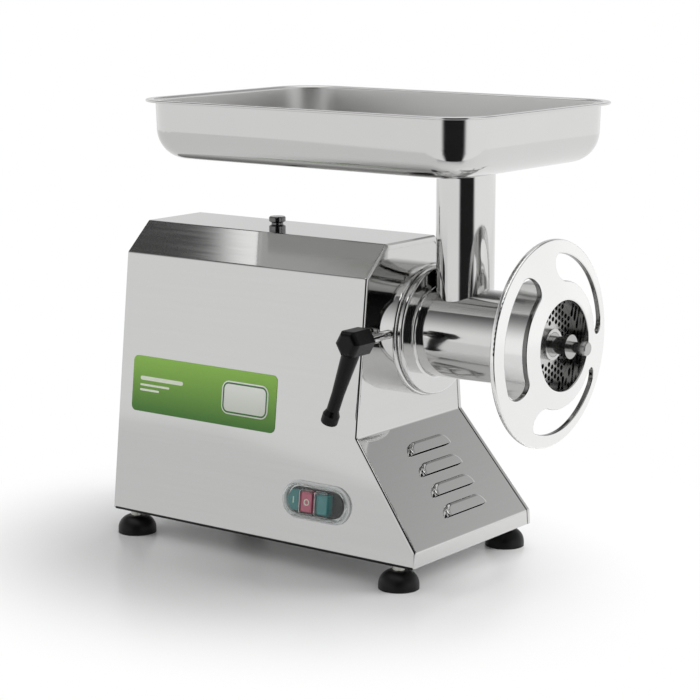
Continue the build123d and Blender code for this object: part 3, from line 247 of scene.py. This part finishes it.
add_node(tree, "ShaderNodeOutputMaterial", {"Surface": seen_table.outputs[0]})
table.data.materials.append(paper)

# Lamps: place, turn in degrees, size across and power in watts. Steel doesn't mirror them.
lamps = {
    "overhead_softbox": ((0.20, 0.55, 1.6), (20, -8, 0), 1.4, 16.0),
    "left_softbox": ((-1.5, -0.9, 1.0), (62, 0, -60), 1.2, 7.0),
    "right_softbox": ((1.4, 0.9, 1.1), (58, 0, 125), 1.0, 22.0),
}
for name, (location, turn, size, power) in lamps.items():
    lamp = bpy.data.lights.new(name, "AREA")
    lamp.size = size
    lamp.energy = power
    holder = bpy.data.objects.new(name, lamp)
    holder.location = location
    holder.rotation_euler = [math.radians(angle) for angle in turn]
    holder.visible_glossy = False
    bpy.context.scene.collection.objects.link(holder)

# The camera stands in front and to the right of the machine, a little above its tray.
camera_place = (1.2670, -1.7170, 0.6123)
camera_pitch = math.radians(79.2)
camera_data = bpy.data.cameras.new("photo_camera")
camera_data.sensor_width = 36.0
camera_data.lens = 110.54
camera = bpy.data.objects.new("photo_camera", camera_data)
camera.location = camera_place
camera.rotation_euler = (camera_pitch, 0.0, camera_turn)
bpy.context.scene.collection.objects.link(camera)
bpy.context.scene.camera = camera
bpy.context.scene.view_settings.view_transform = "Standard"


# Casing: one sheet of bright-rolled stainless folded over the sides, shoulders and top,
# with a screwed rear panel and a base plate of the same sheet.


def shader_of(material):
    """The one principled shader of a material."""
    return material.node_tree.nodes["Principled BSDF"]


def start_material(name, metallic, colour, roughness):
    """New material with one principled shader; gives the material, its tree and the shader."""
    made = bpy.data.materials.new(name)
    made.use_nodes = True
    shader = shader_of(made)
    shader.inputs["Metallic"].default_value = metallic
    shader.inputs["Base Color"].default_value = linear(colour)
    shader.inputs["Roughness"].default_value = roughness
    return made, made.node_tree, shader


def grained(name, metallic, shades, spacing_mm, roughness, bump_mm):
    """New material whose noise, spaced in millimetres along each axis, varies its surface.

    The noise spreads the roughness between two values, raises a low bump and, where there are
    two shades, mixes them.
    """
    made, tree, shader = start_material(name, metallic, shades[0], roughness[0])
    place = add_node(tree, "ShaderNodeTexCoord").outputs["Object"]
    cycles = [1000 / spacing for spacing in spacing_mm]
    drawn = add_node(tree, "ShaderNodeMapping", {"Vector": place, "Scale": cycles})
    noise = add_node(
        tree, "ShaderNodeTexNoise",
        {"Vector": drawn.outputs[0], "Scale": 1.0, "Detail": 3.0, "Roughness": 0.6},
    ).outputs["Fac"]
    spread = add_node(
        tree, "ShaderNodeMapRange",
        {"Value": noise, "From Min": 0.3, "From Max": 0.7, "To Min": roughness[0], "To Max": roughness[1]},
    )
    tree.links.new(spread.outputs[0], shader.inputs["Roughness"])
    bump = add_node(
        tree, "ShaderNodeBump", {"Height": noise, "Strength": 0.5, "Distance": bump_mm / 1000}
    )
    tree.links.new(bump.outputs[0], shader.inputs["Normal"])
    if len(shades) > 1:
        toned = add_node(
            tree, "ShaderNodeMix",
            {"Factor": noise, "A": linear(shades[0]), "B": linear(shades[1])}, data_type="RGBA",
        )
        tree.links.new(toned.outputs["Result"], shader.inputs["Base Color"])
    return made


def dress(material, *names):
    """Gives CAD nodes one material."""
    for name in names:
        slots = nodes[name].data.materials
        slots.clear()
        slots.append(material)


# Rolling leaves a faint grain along the machine that softens what the sheet mirrors. The real
# grain is finer than a pixel, so it is drawn coarser.
bright_sheet = grained(
    "stainless_sheet_bright_rolled", 1.0, ("#CBCBCA", "#CFCFCE"), (160, 5, 5), (0.06, 0.09), 0.0005
)
dress(bright_sheet, "casing_wrap", "rear_panel", "base_plate")

# A black strip, extruded with a round nose, lies on the lower edges of the two sides as painted shade: it
# stands for the dark line where the side's lower edge mirrors the shadowed table.
# Rubber is near black with a dull sheen.
black_rubber = grained(
    "black_moulded_rubber", 0.0, ("#040404", "#090909"), (1.5, 1.5, 1.5), (0.36, 0.48), 0.01
)
shader_of(black_rubber).inputs["Specular IOR Level"].default_value = 0.25
shade_strip_radius = 0.0013
shade_strip_inset = 0.0006
shade_strip_end_gap = 0.002
side_low, side_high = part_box("casing_wrap")
for name, side in (("lower_shade_strip_near", -1), ("lower_shade_strip_far", 1)):
    bpy.ops.object.select_all(action="DESELECT")
    bpy.ops.mesh.primitive_cylinder_add(
        vertices=16, radius=shade_strip_radius, depth=side_high.x - side_low.x - 2 * shade_strip_end_gap,
        location=((side_low.x + side_high.x) / 2, side * (side_high.y - shade_strip_inset), side_low.z),
        rotation=(0, math.pi / 2, 0),
    )
    shade_strip = bpy.context.object
    shade_strip.name = name
    bpy.ops.object.transform_apply(location=True, rotation=True, scale=True)
    nose = shade_strip.modifiers.new("nose", "BEVEL")
    nose.width = shade_strip_radius / 2
    nose.segments = 2
    nose.limit_method = "ANGLE"
    bpy.ops.object.modifier_apply(modifier="nose")
    bpy.ops.object.shade_smooth_by_angle(angle=math.radians(40))
    shade_strip.data.materials.append(black_rubber)
    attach(shade_strip, "casing")


# Front: a sheet folded back at the foot of its upright part, with four louvres pressed out of
# the slope. It is brighter than the casing, and its grain runs across.

front_sheet = grained(
    "stainless_sheet_bright_pressed", 1.0, ("#CCCCCB", "#D0D0CF"), (5, 160, 5), (0.045, 0.075), 0.0005
)
dress(front_sheet, "front_panel")


# Feet: moulded rubber domes on zinc-plated studs, each held under the base plate by a nut.
# The small peg on the top is turned and held by a nut inside.

dress(black_rubber, "rubber_feet", "shaft_seal")

# Zinc plating has a greyish, slightly mottled shine.
zinc = grained(
    "zinc_plated_steel", 1.0, ("#B5B4AE", "#BDBCB7"), (3, 3, 3), (0.2, 0.28), 0.001
)
dress(zinc, "foot_studs", "foot_nuts", "rear_panel_screws", "peg_nut")

# The peg is chrome that mirrors like steel, with faint turning marks; its colour is painted darker, a painted
# shade for the wide dark reflection it shows.
chrome_painted_dark = grained(
    "chromed_steel_painted_dark", 1.0, ("#606060", "#747474"), (8, 8, 0.8), (0.13, 0.2), 0.0005
)
dress(chrome_painted_dark, "top_peg")


# Side label: a printed film stuck on the near side, green paling upwards, with plain pale
# stripes and a blank white plate with a green rim. It carries no words.

# Print on a satin film; its ink is faintly mottled.
film_roughness = 0.28
label_low, label_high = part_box("side_label")
label_film, tree, shader = start_material("printed_green_film", 0.0, "#6FA53E", film_roughness)
place = add_node(tree, "ShaderNodeTexCoord").outputs["Object"]
label_rise = add_node(tree, "ShaderNodeSeparateXYZ", {"Vector": place}).outputs["Z"]
up_label = add_node(
    tree, "ShaderNodeMapRange", {"Value": label_rise, "From Min": label_low.z, "From Max": label_high.z}
)
mottle_mm = 2.5
mottle_share = 0.06
mottle = add_node(tree, "ShaderNodeTexNoise", {"Vector": place, "Scale": 1000 / mottle_mm, "Detail": 2.0})
mottled = add_node(
    tree, "ShaderNodeMath", {0: mottle.outputs["Fac"], 1: mottle_share, 2: up_label.outputs[0]},
    operation="MULTIPLY_ADD",
)
greens = add_node(
    tree, "ShaderNodeMix",
    {"Factor": mottled.outputs[0], "A": linear("#34701A"), "B": linear("#90C24E")}, data_type="RGBA",
)
tree.links.new(greens.outputs["Result"], shader.inputs["Base Color"])
dress(label_film, "side_label")

badge_low, badge_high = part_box("label_badge")
badge_film, tree, shader = start_material("printed_white_film", 0.0, "#ECEDEB", film_roughness)
place = add_node(tree, "ShaderNodeTexCoord").outputs["Object"]
badge_rise = add_node(tree, "ShaderNodeSeparateXYZ", {"Vector": place}).outputs["Z"]
up_badge = add_node(
    tree, "ShaderNodeMapRange", {"Value": badge_rise, "From Min": badge_low.z, "From Max": badge_high.z}
)
# The plate's white is painted greyer towards its foot and paler towards its top, a painted shade.
shaded_badge_white = add_node(
    tree, "ShaderNodeMix",
    {"Factor": up_badge.outputs[0], "A": linear("#D3D8CC"), "B": linear("#F4F6F0")}, data_type="RGBA",
)
tree.links.new(shaded_badge_white.outputs["Result"], shader.inputs["Base Color"])
dress(badge_film, "label_badge")

# The sides lean in from the foot of the casing to its shoulder.
foot_half_width, foot_height = 0.1044, 0.025
shoulder_half_width, shoulder_height = 0.075, 0.293
panel_lean = math.atan2(foot_half_width - shoulder_half_width, shoulder_height - foot_height)
film_thickness = 0.00012


def panel_place(low, high):
    """Turns a flat piece drawn in x and y onto the outer face of a node on the leaning near side."""
    outward = mathutils.Vector((0, -math.cos(panel_lean), math.sin(panel_lean)))
    upward = mathutils.Vector((0, math.sin(panel_lean), math.cos(panel_lean)))
    turned = mathutils.Matrix((upward.cross(outward), upward, outward)).transposed().to_4x4()
    rise = (high.z - low.z) / 2
    centre = ((low.x + high.x) / 2, low.y + rise * math.tan(panel_lean), low.z + rise)
    return mathutils.Matrix.Translation(centre) @ turned


def printed_plate(name, size, centre, corner, line=None):
    """Thin rounded plate, or only its outline of a line's width, drawn about centre in x and y."""
    bpy.ops.object.select_all(action="DESELECT")
    bpy.ops.mesh.primitive_plane_add(size=1.0, location=(*centre, 0))
    made = bpy.context.object
    made.name = name
    made.scale = (*size, 1.0)
    bpy.ops.object.transform_apply(location=True, rotation=True, scale=True)
    bpy.ops.object.mode_set(mode="EDIT")
    bpy.ops.mesh.select_all(action="SELECT")
    bpy.ops.mesh.bevel(offset=corner, offset_type="OFFSET", segments=6, affect="VERTICES")
    if line:
        bpy.ops.mesh.select_all(action="SELECT")
        bpy.ops.mesh.inset(thickness=line)
        bpy.ops.mesh.delete(type="FACE")
    bpy.ops.object.mode_set(mode="OBJECT")
    film = made.modifiers.new("film", "SOLIDIFY")
    film.thickness = film_thickness
    film.offset = 1.0
    bpy.ops.object.modifier_apply(modifier="film")
    return made


def lay_print(piece, place, ink, body):
    """Lays a printed plate at its place on a body."""
    bpy.ops.object.select_all(action="DESELECT")
    piece.select_set(True)
    bpy.context.view_layer.objects.active = piece
    piece.matrix_world = place
    bpy.ops.object.transform_apply(location=True, rotation=True, scale=True)
    piece.data.materials.append(ink)
    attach(piece, body)


# Screen-printed inks are even and slightly grainy.
ink_grain_mm = (0.6, 0.6, 0.6)
ink_roughness = (0.26, 0.36)
pale_ink = grained(
    "printed_pale_ink", 0.0, ("#E3EBD4", "#EEF4E4"), ink_grain_mm, ink_roughness, 0.001
)
rim_ink = grained(
    "printed_dark_green_ink", 0.0, ("#2B641E", "#347227"), ink_grain_mm, ink_roughness, 0.001
)
label_face = panel_place(label_low, label_high)
# Each stripe's size, its centre on the label and the round of its corners.
for name, size, centre, corner in (
    ("label_stripe_long", (0.058, 0.0042), (-0.056, 0.006), 0.002),
    ("label_stripe_middle", (0.040, 0.0022), (-0.065, -0.001), 0.001),
    ("label_stripe_short", (0.026, 0.0022), (-0.072, -0.0062), 0.001),
):
    stripe = printed_plate(name, size, centre, corner)
    lay_print(stripe, label_face, pale_ink, "casing")

rim_margin = 0.0015
rim_corner = 0.007
rim_line = 0.0016
badge_length = badge_high.x - badge_low.x
badge_height = (badge_high.z - badge_low.z) / math.cos(panel_lean)
badge_rim = printed_plate(
    "badge_rim", (badge_length - 2 * rim_margin, badge_height - 2 * rim_margin), (0, 0), rim_corner, rim_line
)
lay_print(badge_rim, panel_place(badge_low, badge_high), rim_ink, "casing")


# Switch: three moulded push buttons in a black body, under a clear silicone boot with two
# finger pockets, held down by a pale moulded rim.

bezel_thickness = 0.0025
bezel_face = panel_place(*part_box("switch_bezel"))

# Moulded silicone is matt and pale, with a soft even skin.
rim_silicone = grained(
    "pale_moulded_silicone_rim", 0.0, ("#DADCDC", "#E6E8E8"), (1, 1, 1), (0.3, 0.42), 0.01
)
dress(rim_silicone, "switch_bezel")

boot_length = 0.0772
boot_height = 0.0332
boot_rise = 0.0054
boot_edge_round = 0.0025
boot_end_round = boot_height * 0.495
boot_wall = 0.0009
boot_voxel = 0.0005
pocket_size = (0.0174, 0.0255, 0.0094)
pocket_edge_round = 0.0022
pocket_corner_round = 0.0030
pocket_places = {"stop": -0.0065, "reverse": 0.0125}


def rounded_block(size, centre, edge_round, corner_round):
    """Block standing on z = 0 about centre, with rounded upright corners and a rounded top."""
    bpy.ops.object.select_all(action="DESELECT")
    bpy.ops.mesh.primitive_cube_add(size=1.0, location=(centre[0], centre[1], size[2] / 2), scale=size)
    made = bpy.context.object
    bpy.ops.object.transform_apply(location=True, rotation=True, scale=True)
    bpy.ops.object.mode_set(mode="EDIT")
    bpy.ops.mesh.select_mode(type="EDGE")
    bpy.ops.mesh.select_all(action="DESELECT")
    bpy.ops.object.mode_set(mode="OBJECT")
    points = made.data.vertices
    for edge in made.data.edges:
        ends = [points[place].co for place in edge.vertices]
        edge.select = abs(ends[0].z - ends[1].z) > size[2] / 2
    bpy.ops.object.mode_set(mode="EDIT")
    bpy.ops.mesh.bevel(offset=corner_round, offset_type="OFFSET", segments=10, affect="EDGES")
    bpy.ops.mesh.select_all(action="DESELECT")
    bpy.ops.object.mode_set(mode="OBJECT")
    points = made.data.vertices
    for edge in made.data.edges:
        edge.select = all(points[place].co.z > size[2] * 0.99 for place in edge.vertices)
    bpy.ops.object.mode_set(mode="EDIT")
    bpy.ops.mesh.bevel(offset=edge_round, offset_type="OFFSET", segments=5, affect="EDGES")
    bpy.ops.object.mode_set(mode="OBJECT")
    return made


# The boot is moulded in one skin: a low oval dome with the pockets joined on, opened below.
boot = rounded_block((boot_length, boot_height, boot_rise), (0, 0), boot_edge_round, boot_end_round)
boot.name = "silicone_boot"
pockets = [
    rounded_block(pocket_size, (along, 0), pocket_edge_round, pocket_corner_round)
    for along in pocket_places.values()
]
bpy.ops.object.select_all(action="DESELECT")
for piece in (boot, *pockets):
    piece.select_set(True)
bpy.context.view_layer.objects.active = boot
bpy.ops.object.join()
skin = boot.modifiers.new("moulded_skin", "REMESH")
skin.mode = "VOXEL"
skin.voxel_size = boot_voxel
bpy.ops.object.modifier_apply(modifier="moulded_skin")
soft = boot.modifiers.new("soft_edges", "SMOOTH")
soft.factor = 0.5
soft.iterations = 4
bpy.ops.object.modifier_apply(modifier="soft_edges")
for face in boot.data.polygons:
    face.select = face.center.z < 1.2 * boot_voxel and face.normal.z < -0.5
bpy.ops.object.mode_set(mode="EDIT")
bpy.ops.mesh.select_mode(type="FACE")
bpy.ops.mesh.delete(type="FACE")
bpy.ops.object.mode_set(mode="OBJECT")
wall = boot.modifiers.new("wall", "SOLIDIFY")
wall.thickness = boot_wall
wall.offset = -1.0
bpy.ops.object.modifier_apply(modifier="wall")
boot.matrix_world = bezel_face
bpy.ops.object.transform_apply(location=True, rotation=True, scale=True)
bpy.ops.object.shade_smooth()

# Clear silicone lets the buttons show, a little blurred and paler.
clear_silicone = grained(
    "clear_moulded_silicone", 0.0, ("#F3F6F5",), (6, 6, 6), (0.06, 0.14), 0.01
)
shader_of(clear_silicone).inputs["Transmission Weight"].default_value = 1.0
shader_of(clear_silicone).inputs["IOR"].default_value = 1.41
boot.data.materials.append(clear_silicone)
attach(boot, "casing")
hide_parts("switch_boot")

# Moulded polyamide is black with a fine satin texture; the buttons' polycarbonate is glossier.
black_plastic = grained(
    "black_moulded_polyamide", 0.0, ("#040404", "#080808"), (0.8, 0.8, 0.8), (0.24, 0.36), 0.01
)
shader_of(black_plastic).inputs["Specular IOR Level"].default_value = 0.2
dress(black_plastic, "switch_body")
button_grain_mm = (1.2, 1.2, 1.2)
button_roughness = (0.25, 0.36)
teal_plastic = grained(
    "teal_moulded_polycarbonate", 0.0, ("#2F8182", "#3A9192"), button_grain_mm, button_roughness, 0.01
)
dress(teal_plastic, "start_button")
red_plastic = grained(
    "red_moulded_polycarbonate", 0.0, ("#BE5470", "#CE637E"), button_grain_mm, button_roughness, 0.01
)

# The stop and reverse caps fill their pockets: moulded blocks with a shallow finger dish.
cap_root = 0.0050
cap_rise = 0.0088
cap_size = (0.0148, 0.0205, cap_rise + cap_root)
cap_edge_round = 0.0012
cap_corner_round = 0.0018
dish_margin = 0.0026
dish_depth = 0.0006
cap_place = bezel_face @ mathutils.Matrix.Translation((0, 0, -bezel_thickness - cap_root))
for button, plastic, colour_slot in (
    ("stop", red_plastic, "red_button"),
    ("reverse", teal_plastic, "green_button"),
):
    cap = rounded_block(cap_size, (pocket_places[button], 0), cap_edge_round, cap_corner_round)
    cap.name = f"{button}_cap"
    for face in cap.data.polygons:
        face.select = face.normal.z > 0.99 and face.area > 0.5 * cap_size[0] * cap_size[1]
    bpy.ops.object.mode_set(mode="EDIT")
    bpy.ops.mesh.select_mode(type="FACE")
    bpy.ops.mesh.inset(thickness=dish_margin)
    bpy.ops.transform.translate(value=(0, 0, -dish_depth))
    bpy.ops.object.mode_set(mode="OBJECT")
    cap.matrix_world = cap_place
    bpy.ops.object.transform_apply(location=True, rotation=True, scale=True)
    bpy.ops.object.shade_smooth_by_angle(angle=math.radians(35))
    cap.data.materials.append(plastic)
    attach(cap, button)
    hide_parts(f"{button}_button")

# Plain printed signs for on and off, on the start button and in the stop cap's dish.
start_rise = 0.0060
start_along = -0.0245
on_size = (0.0012, 0.0068)
on_corner = 0.0004
off_size = (0.0066, 0.0066)
off_corner = 0.0032
off_line = 0.0011
on_mark = printed_plate("on_mark", on_size, (start_along, 0), on_corner)
on_place = bezel_face @ mathutils.Matrix.Translation((0, 0, start_rise - bezel_thickness))
lay_print(on_mark, on_place, pale_ink, "start")
off_mark = printed_plate("off_mark", off_size, (pocket_places["stop"], 0), off_corner, off_line)
off_place = bezel_face @ mathutils.Matrix.Translation((0, 0, cap_rise - bezel_thickness - dish_depth))
lay_print(off_mark, off_place, pale_ink, "stop")


# Rear cable gland: moulded in black polyamide, screwed through the rear panel and held
# by its lock nut.

dress(black_plastic, "cable_gland", "gland_nut")


# Motor: enamelled frame and cast end shield, varnished laminations, copper end turns
# and a moulded fan.

# Brushed-on enamel has a slight orange peel.
motor_enamel = grained(
    "grey_motor_enamel", 0.0, ("#465057", "#525A60"), (2, 2, 2), (0.32, 0.48), 0.03
)
dress(motor_enamel, "motor_frame")

# Sand casting leaves a dull, pebbled skin.
cast_aluminium = grained(
    "sand_cast_aluminium", 1.0, ("#989A9B", "#B0B2B3"), (1.2, 1.2, 1.2), (0.42, 0.62), 0.12
)
dress(cast_aluminium, "motor_end_shield")

# Stacked laminations show as fine rings across the axis.
laminations = grained(
    "varnished_laminated_iron", 1.0, ("#3F3F41", "#565658"), (0.5, 40, 40), (0.35, 0.55), 0.05
)
dress(laminations, "stator_core", "rotor_core")

# Wound wire shows as fine ridges under its varnish.
copper = grained(
    "varnished_copper_winding", 1.0, ("#9A5424", "#C07A3C"), (0.9, 12, 12), (0.22, 0.4), 0.2
)
dress(copper, "stator_windings")
dress(black_plastic, "cooling_fan")


# Gear train: cast housing and cover on a plated bracket, with ground steel shafts, gears and
# bearings, all inside the casing.

dress(cast_aluminium, "gearbox_housing", "gearbox_cover")
dress(zinc, "cover_bolts", "gearbox_bracket")

# Ground steel is grey and satin, with marks across the axis.
gear_steel = grained(
    "ground_gear_steel", 1.0, ("#85868A", "#98999C"), (0.6, 8, 8), (0.22, 0.38), 0.005
)
dress(
    gear_steel, "rotor_shaft", "motor_pinion", "layshaft", "layshaft_gear", "drive_hub", "output_gear",
    "motor_front_bearing", "motor_rear_bearing", "layshaft_rear_bearing", "layshaft_front_bearing",
    "output_rear_bearing", "output_front_bearing",
)


# Electrical parts: an aluminium capacitor can and a moulded contactor, both fixed to the
# base plate.

dress(cast_aluminium, "capacitor")
dress(black_plastic, "contactor")


# Collar and clamp: a polished cast collar bolted to the gearbox, a turned screw and a
# moulded black lever that turns it against the barrel.

# Polished castings mirror the room almost sharply.
polished_casting = grained(
    "polished_stainless_casting", 1.0, ("#D2D2D1", "#D9D9D8"), (22, 22, 22), (0.05, 0.08), 0.0005
)
dress(polished_casting, "head_collar")
dress(zinc, "collar_bolts")

# Turned steel is bright with fine rings.
turned_steel = grained(
    "turned_stainless_steel", 1.0, ("#CDCDCC", "#D8D8D7"), (14, 14, 0.8), (0.08, 0.16), 0.001
)
dress(turned_steel, "clamp_screw")
dress(black_plastic, "clamp_lever")


# Head: barrel and neck cast in one and polished, with a machined bronze bush pressed in
# behind the worm.

# The barrel's polish is a little softer than the collar's.
barrel_steel = grained(
    "polished_stainless_barrel", 1.0, ("#CFCFCE", "#D5D5D4"), (22, 22, 22), (0.07, 0.11), 0.0005
)
dress(barrel_steel, "barrel")

# Machined bronze is warm and satin, with fine rings.
bronze = grained(
    "machined_bearing_bronze", 1.0, ("#A27E43", "#BC975A"), (0.5, 10, 10), (0.22, 0.38), 0.005
)
dress(bronze, "worm_bush")


# Cutting parts: a cast worm with its pin, a ground cross knife on its square, and the drilled
# plate held from turning by a key in the barrel's mouth.

dress(polished_casting, "feed_worm", "cross_knife")

# A surface-ground plate is satin.
ground_plate = grained(
    "ground_stainless_plate", 1.0, ("#C6C6C5", "#D8D8D7"), (0.7, 9, 9), (0.2, 0.3), 0.001
)
dress(ground_plate, "grinding_plate", "plate_key")

# A hardened pin is greyer than the parts round it.
pin_steel = grained(
    "hardened_stainless_pin", 1.0, ("#ACACAB", "#BBBBBA"), (1.5, 8, 8), (0.17, 0.24), 0.0005
)
dress(pin_steel, "worm_pin")


# Ring wheel: cast stainless with three finger slots, its faces turned and satin ground.
# It screws on the barrel's mouth and holds the plate.

# The faces are pale and satin. The walls of the bore and slots are smoother and mirror the plate's holes, and
# their colour is painted darker, a painted shade in these deep openings.
wall_painted_shade_colour = "#747473"
wall_smoothing = -0.05
bore_reach = 0.0445
slot_middle = 0.074
slot_reach = 0.014
wall_facing, face_facing = 0.5, 0.8
wheel_low, wheel_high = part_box("ring_wheel")
wheel_centre = (wheel_low + wheel_high) / 2
wheel_steel = grained(
    "satin_ground_stainless", 1.0, ("#EAEAE9", "#EEEEED"), (30, 30, 30), (0.13, 0.17), 0.0005
)
tree = wheel_steel.node_tree
shader = shader_of(wheel_steel)
face_colour = shader.inputs["Base Color"].links[0].from_socket
face_roughness = shader.inputs["Roughness"].links[0].from_socket
place = add_node(tree, "ShaderNodeTexCoord").outputs["Object"]
from_centre = add_node(tree, "ShaderNodeVectorMath", {0: place, 1: wheel_centre}, operation="SUBTRACT")
from_axis = add_node(
    tree, "ShaderNodeVectorMath", {0: from_centre.outputs[0], 1: (0.0, 1.0, 1.0)}, operation="MULTIPLY"
)
radius = add_node(
    tree, "ShaderNodeVectorMath", {0: from_axis.outputs[0]}, operation="LENGTH"
).outputs["Value"]
in_bore = add_node(tree, "ShaderNodeMath", {0: radius, 1: bore_reach}, operation="LESS_THAN")
in_slots = add_node(tree, "ShaderNodeMath", {0: radius, 1: slot_middle, 2: slot_reach}, operation="COMPARE")
openings = add_node(tree, "ShaderNodeMath", {0: in_bore.outputs[0], 1: in_slots.outputs[0]}, operation="ADD")
facing = add_node(tree, "ShaderNodeNewGeometry").outputs["Normal"]
along_axis = add_node(
    tree, "ShaderNodeVectorMath", {0: facing, 1: (1.0, 0.0, 0.0)}, operation="DOT_PRODUCT"
)
forwards = add_node(tree, "ShaderNodeMath", {0: along_axis.outputs["Value"]}, operation="ABSOLUTE")
walls = add_node(
    tree, "ShaderNodeMapRange",
    {"Value": forwards.outputs[0], "From Min": wall_facing, "From Max": face_facing,
     "To Min": 1.0, "To Max": 0.0},
)
painted_wall_shade = add_node(
    tree, "ShaderNodeMath", {0: openings.outputs[0], 1: walls.outputs[0]}, operation="MULTIPLY"
)
colour = add_node(
    tree, "ShaderNodeMix", {"Factor": painted_wall_shade.outputs[0], "A": face_colour, "B": linear(wall_painted_shade_colour)},
    data_type="RGBA",
)
tree.links.new(colour.outputs["Result"], shader.inputs["Base Color"])
finish = add_node(
    tree, "ShaderNodeMath", {0: painted_wall_shade.outputs[0], 1: wall_smoothing, 2: face_roughness},
    operation="MULTIPLY_ADD",
)
tree.links.new(finish.outputs[0], shader.inputs["Roughness"])
dress(wheel_steel, "ring_wheel")


# Hopper tray: one deep-drawn stainless pan with a hemmed rim and a spout that drops into
# the neck.

# It is bright outside from the press and satin inside, and inside its colour is painted paler, a painted
# light, so the inside shows brighter than the dim ceiling it mirrors.
inside_painted_light_colour = "#DEDEDD"
inside_roughness = 0.26
inside_blend = 0.01
tray_low, tray_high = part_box("hopper_tray")
tray_mouth = ((tray_low.x + tray_high.x) / 2, (tray_low.y + tray_high.y) / 2, tray_high.z)
tray_steel = grained(
    "deep_drawn_stainless_tray", 1.0, ("#CDCDCC", "#D1D1D0"), (60, 60, 30), (0.08, 0.12), 0.0005
)
tree = tray_steel.node_tree
shader = shader_of(tray_steel)
outside_colour = shader.inputs["Base Color"].links[0].from_socket
outside_roughness = shader.inputs["Roughness"].links[0].from_socket
place = add_node(tree, "ShaderNodeTexCoord").outputs["Object"]
facing = add_node(tree, "ShaderNodeNewGeometry").outputs["Normal"]
towards_mouth = add_node(tree, "ShaderNodeVectorMath", {0: tray_mouth, 1: place}, operation="SUBTRACT")
inwards = add_node(
    tree, "ShaderNodeVectorMath", {0: towards_mouth.outputs[0], 1: facing}, operation="DOT_PRODUCT"
)
inside = add_node(
    tree, "ShaderNodeMapRange", {"Value": inwards.outputs["Value"], "From Min": 0.0, "From Max": inside_blend}
)
colour = add_node(
    tree, "ShaderNodeMix", {"Factor": inside.outputs[0], "A": outside_colour, "B": linear(inside_painted_light_colour)},
    data_type="RGBA",
)
tree.links.new(colour.outputs["Result"], shader.inputs["Base Color"])
finish = add_node(
    tree, "ShaderNodeMath", {0: inside.outputs[0], 1: inside_roughness, 2: outside_roughness},
    operation="MULTIPLY_ADD",
)
tree.links.new(finish.outputs[0], shader.inputs["Roughness"])
dress(tray_steel, "hopper_tray")
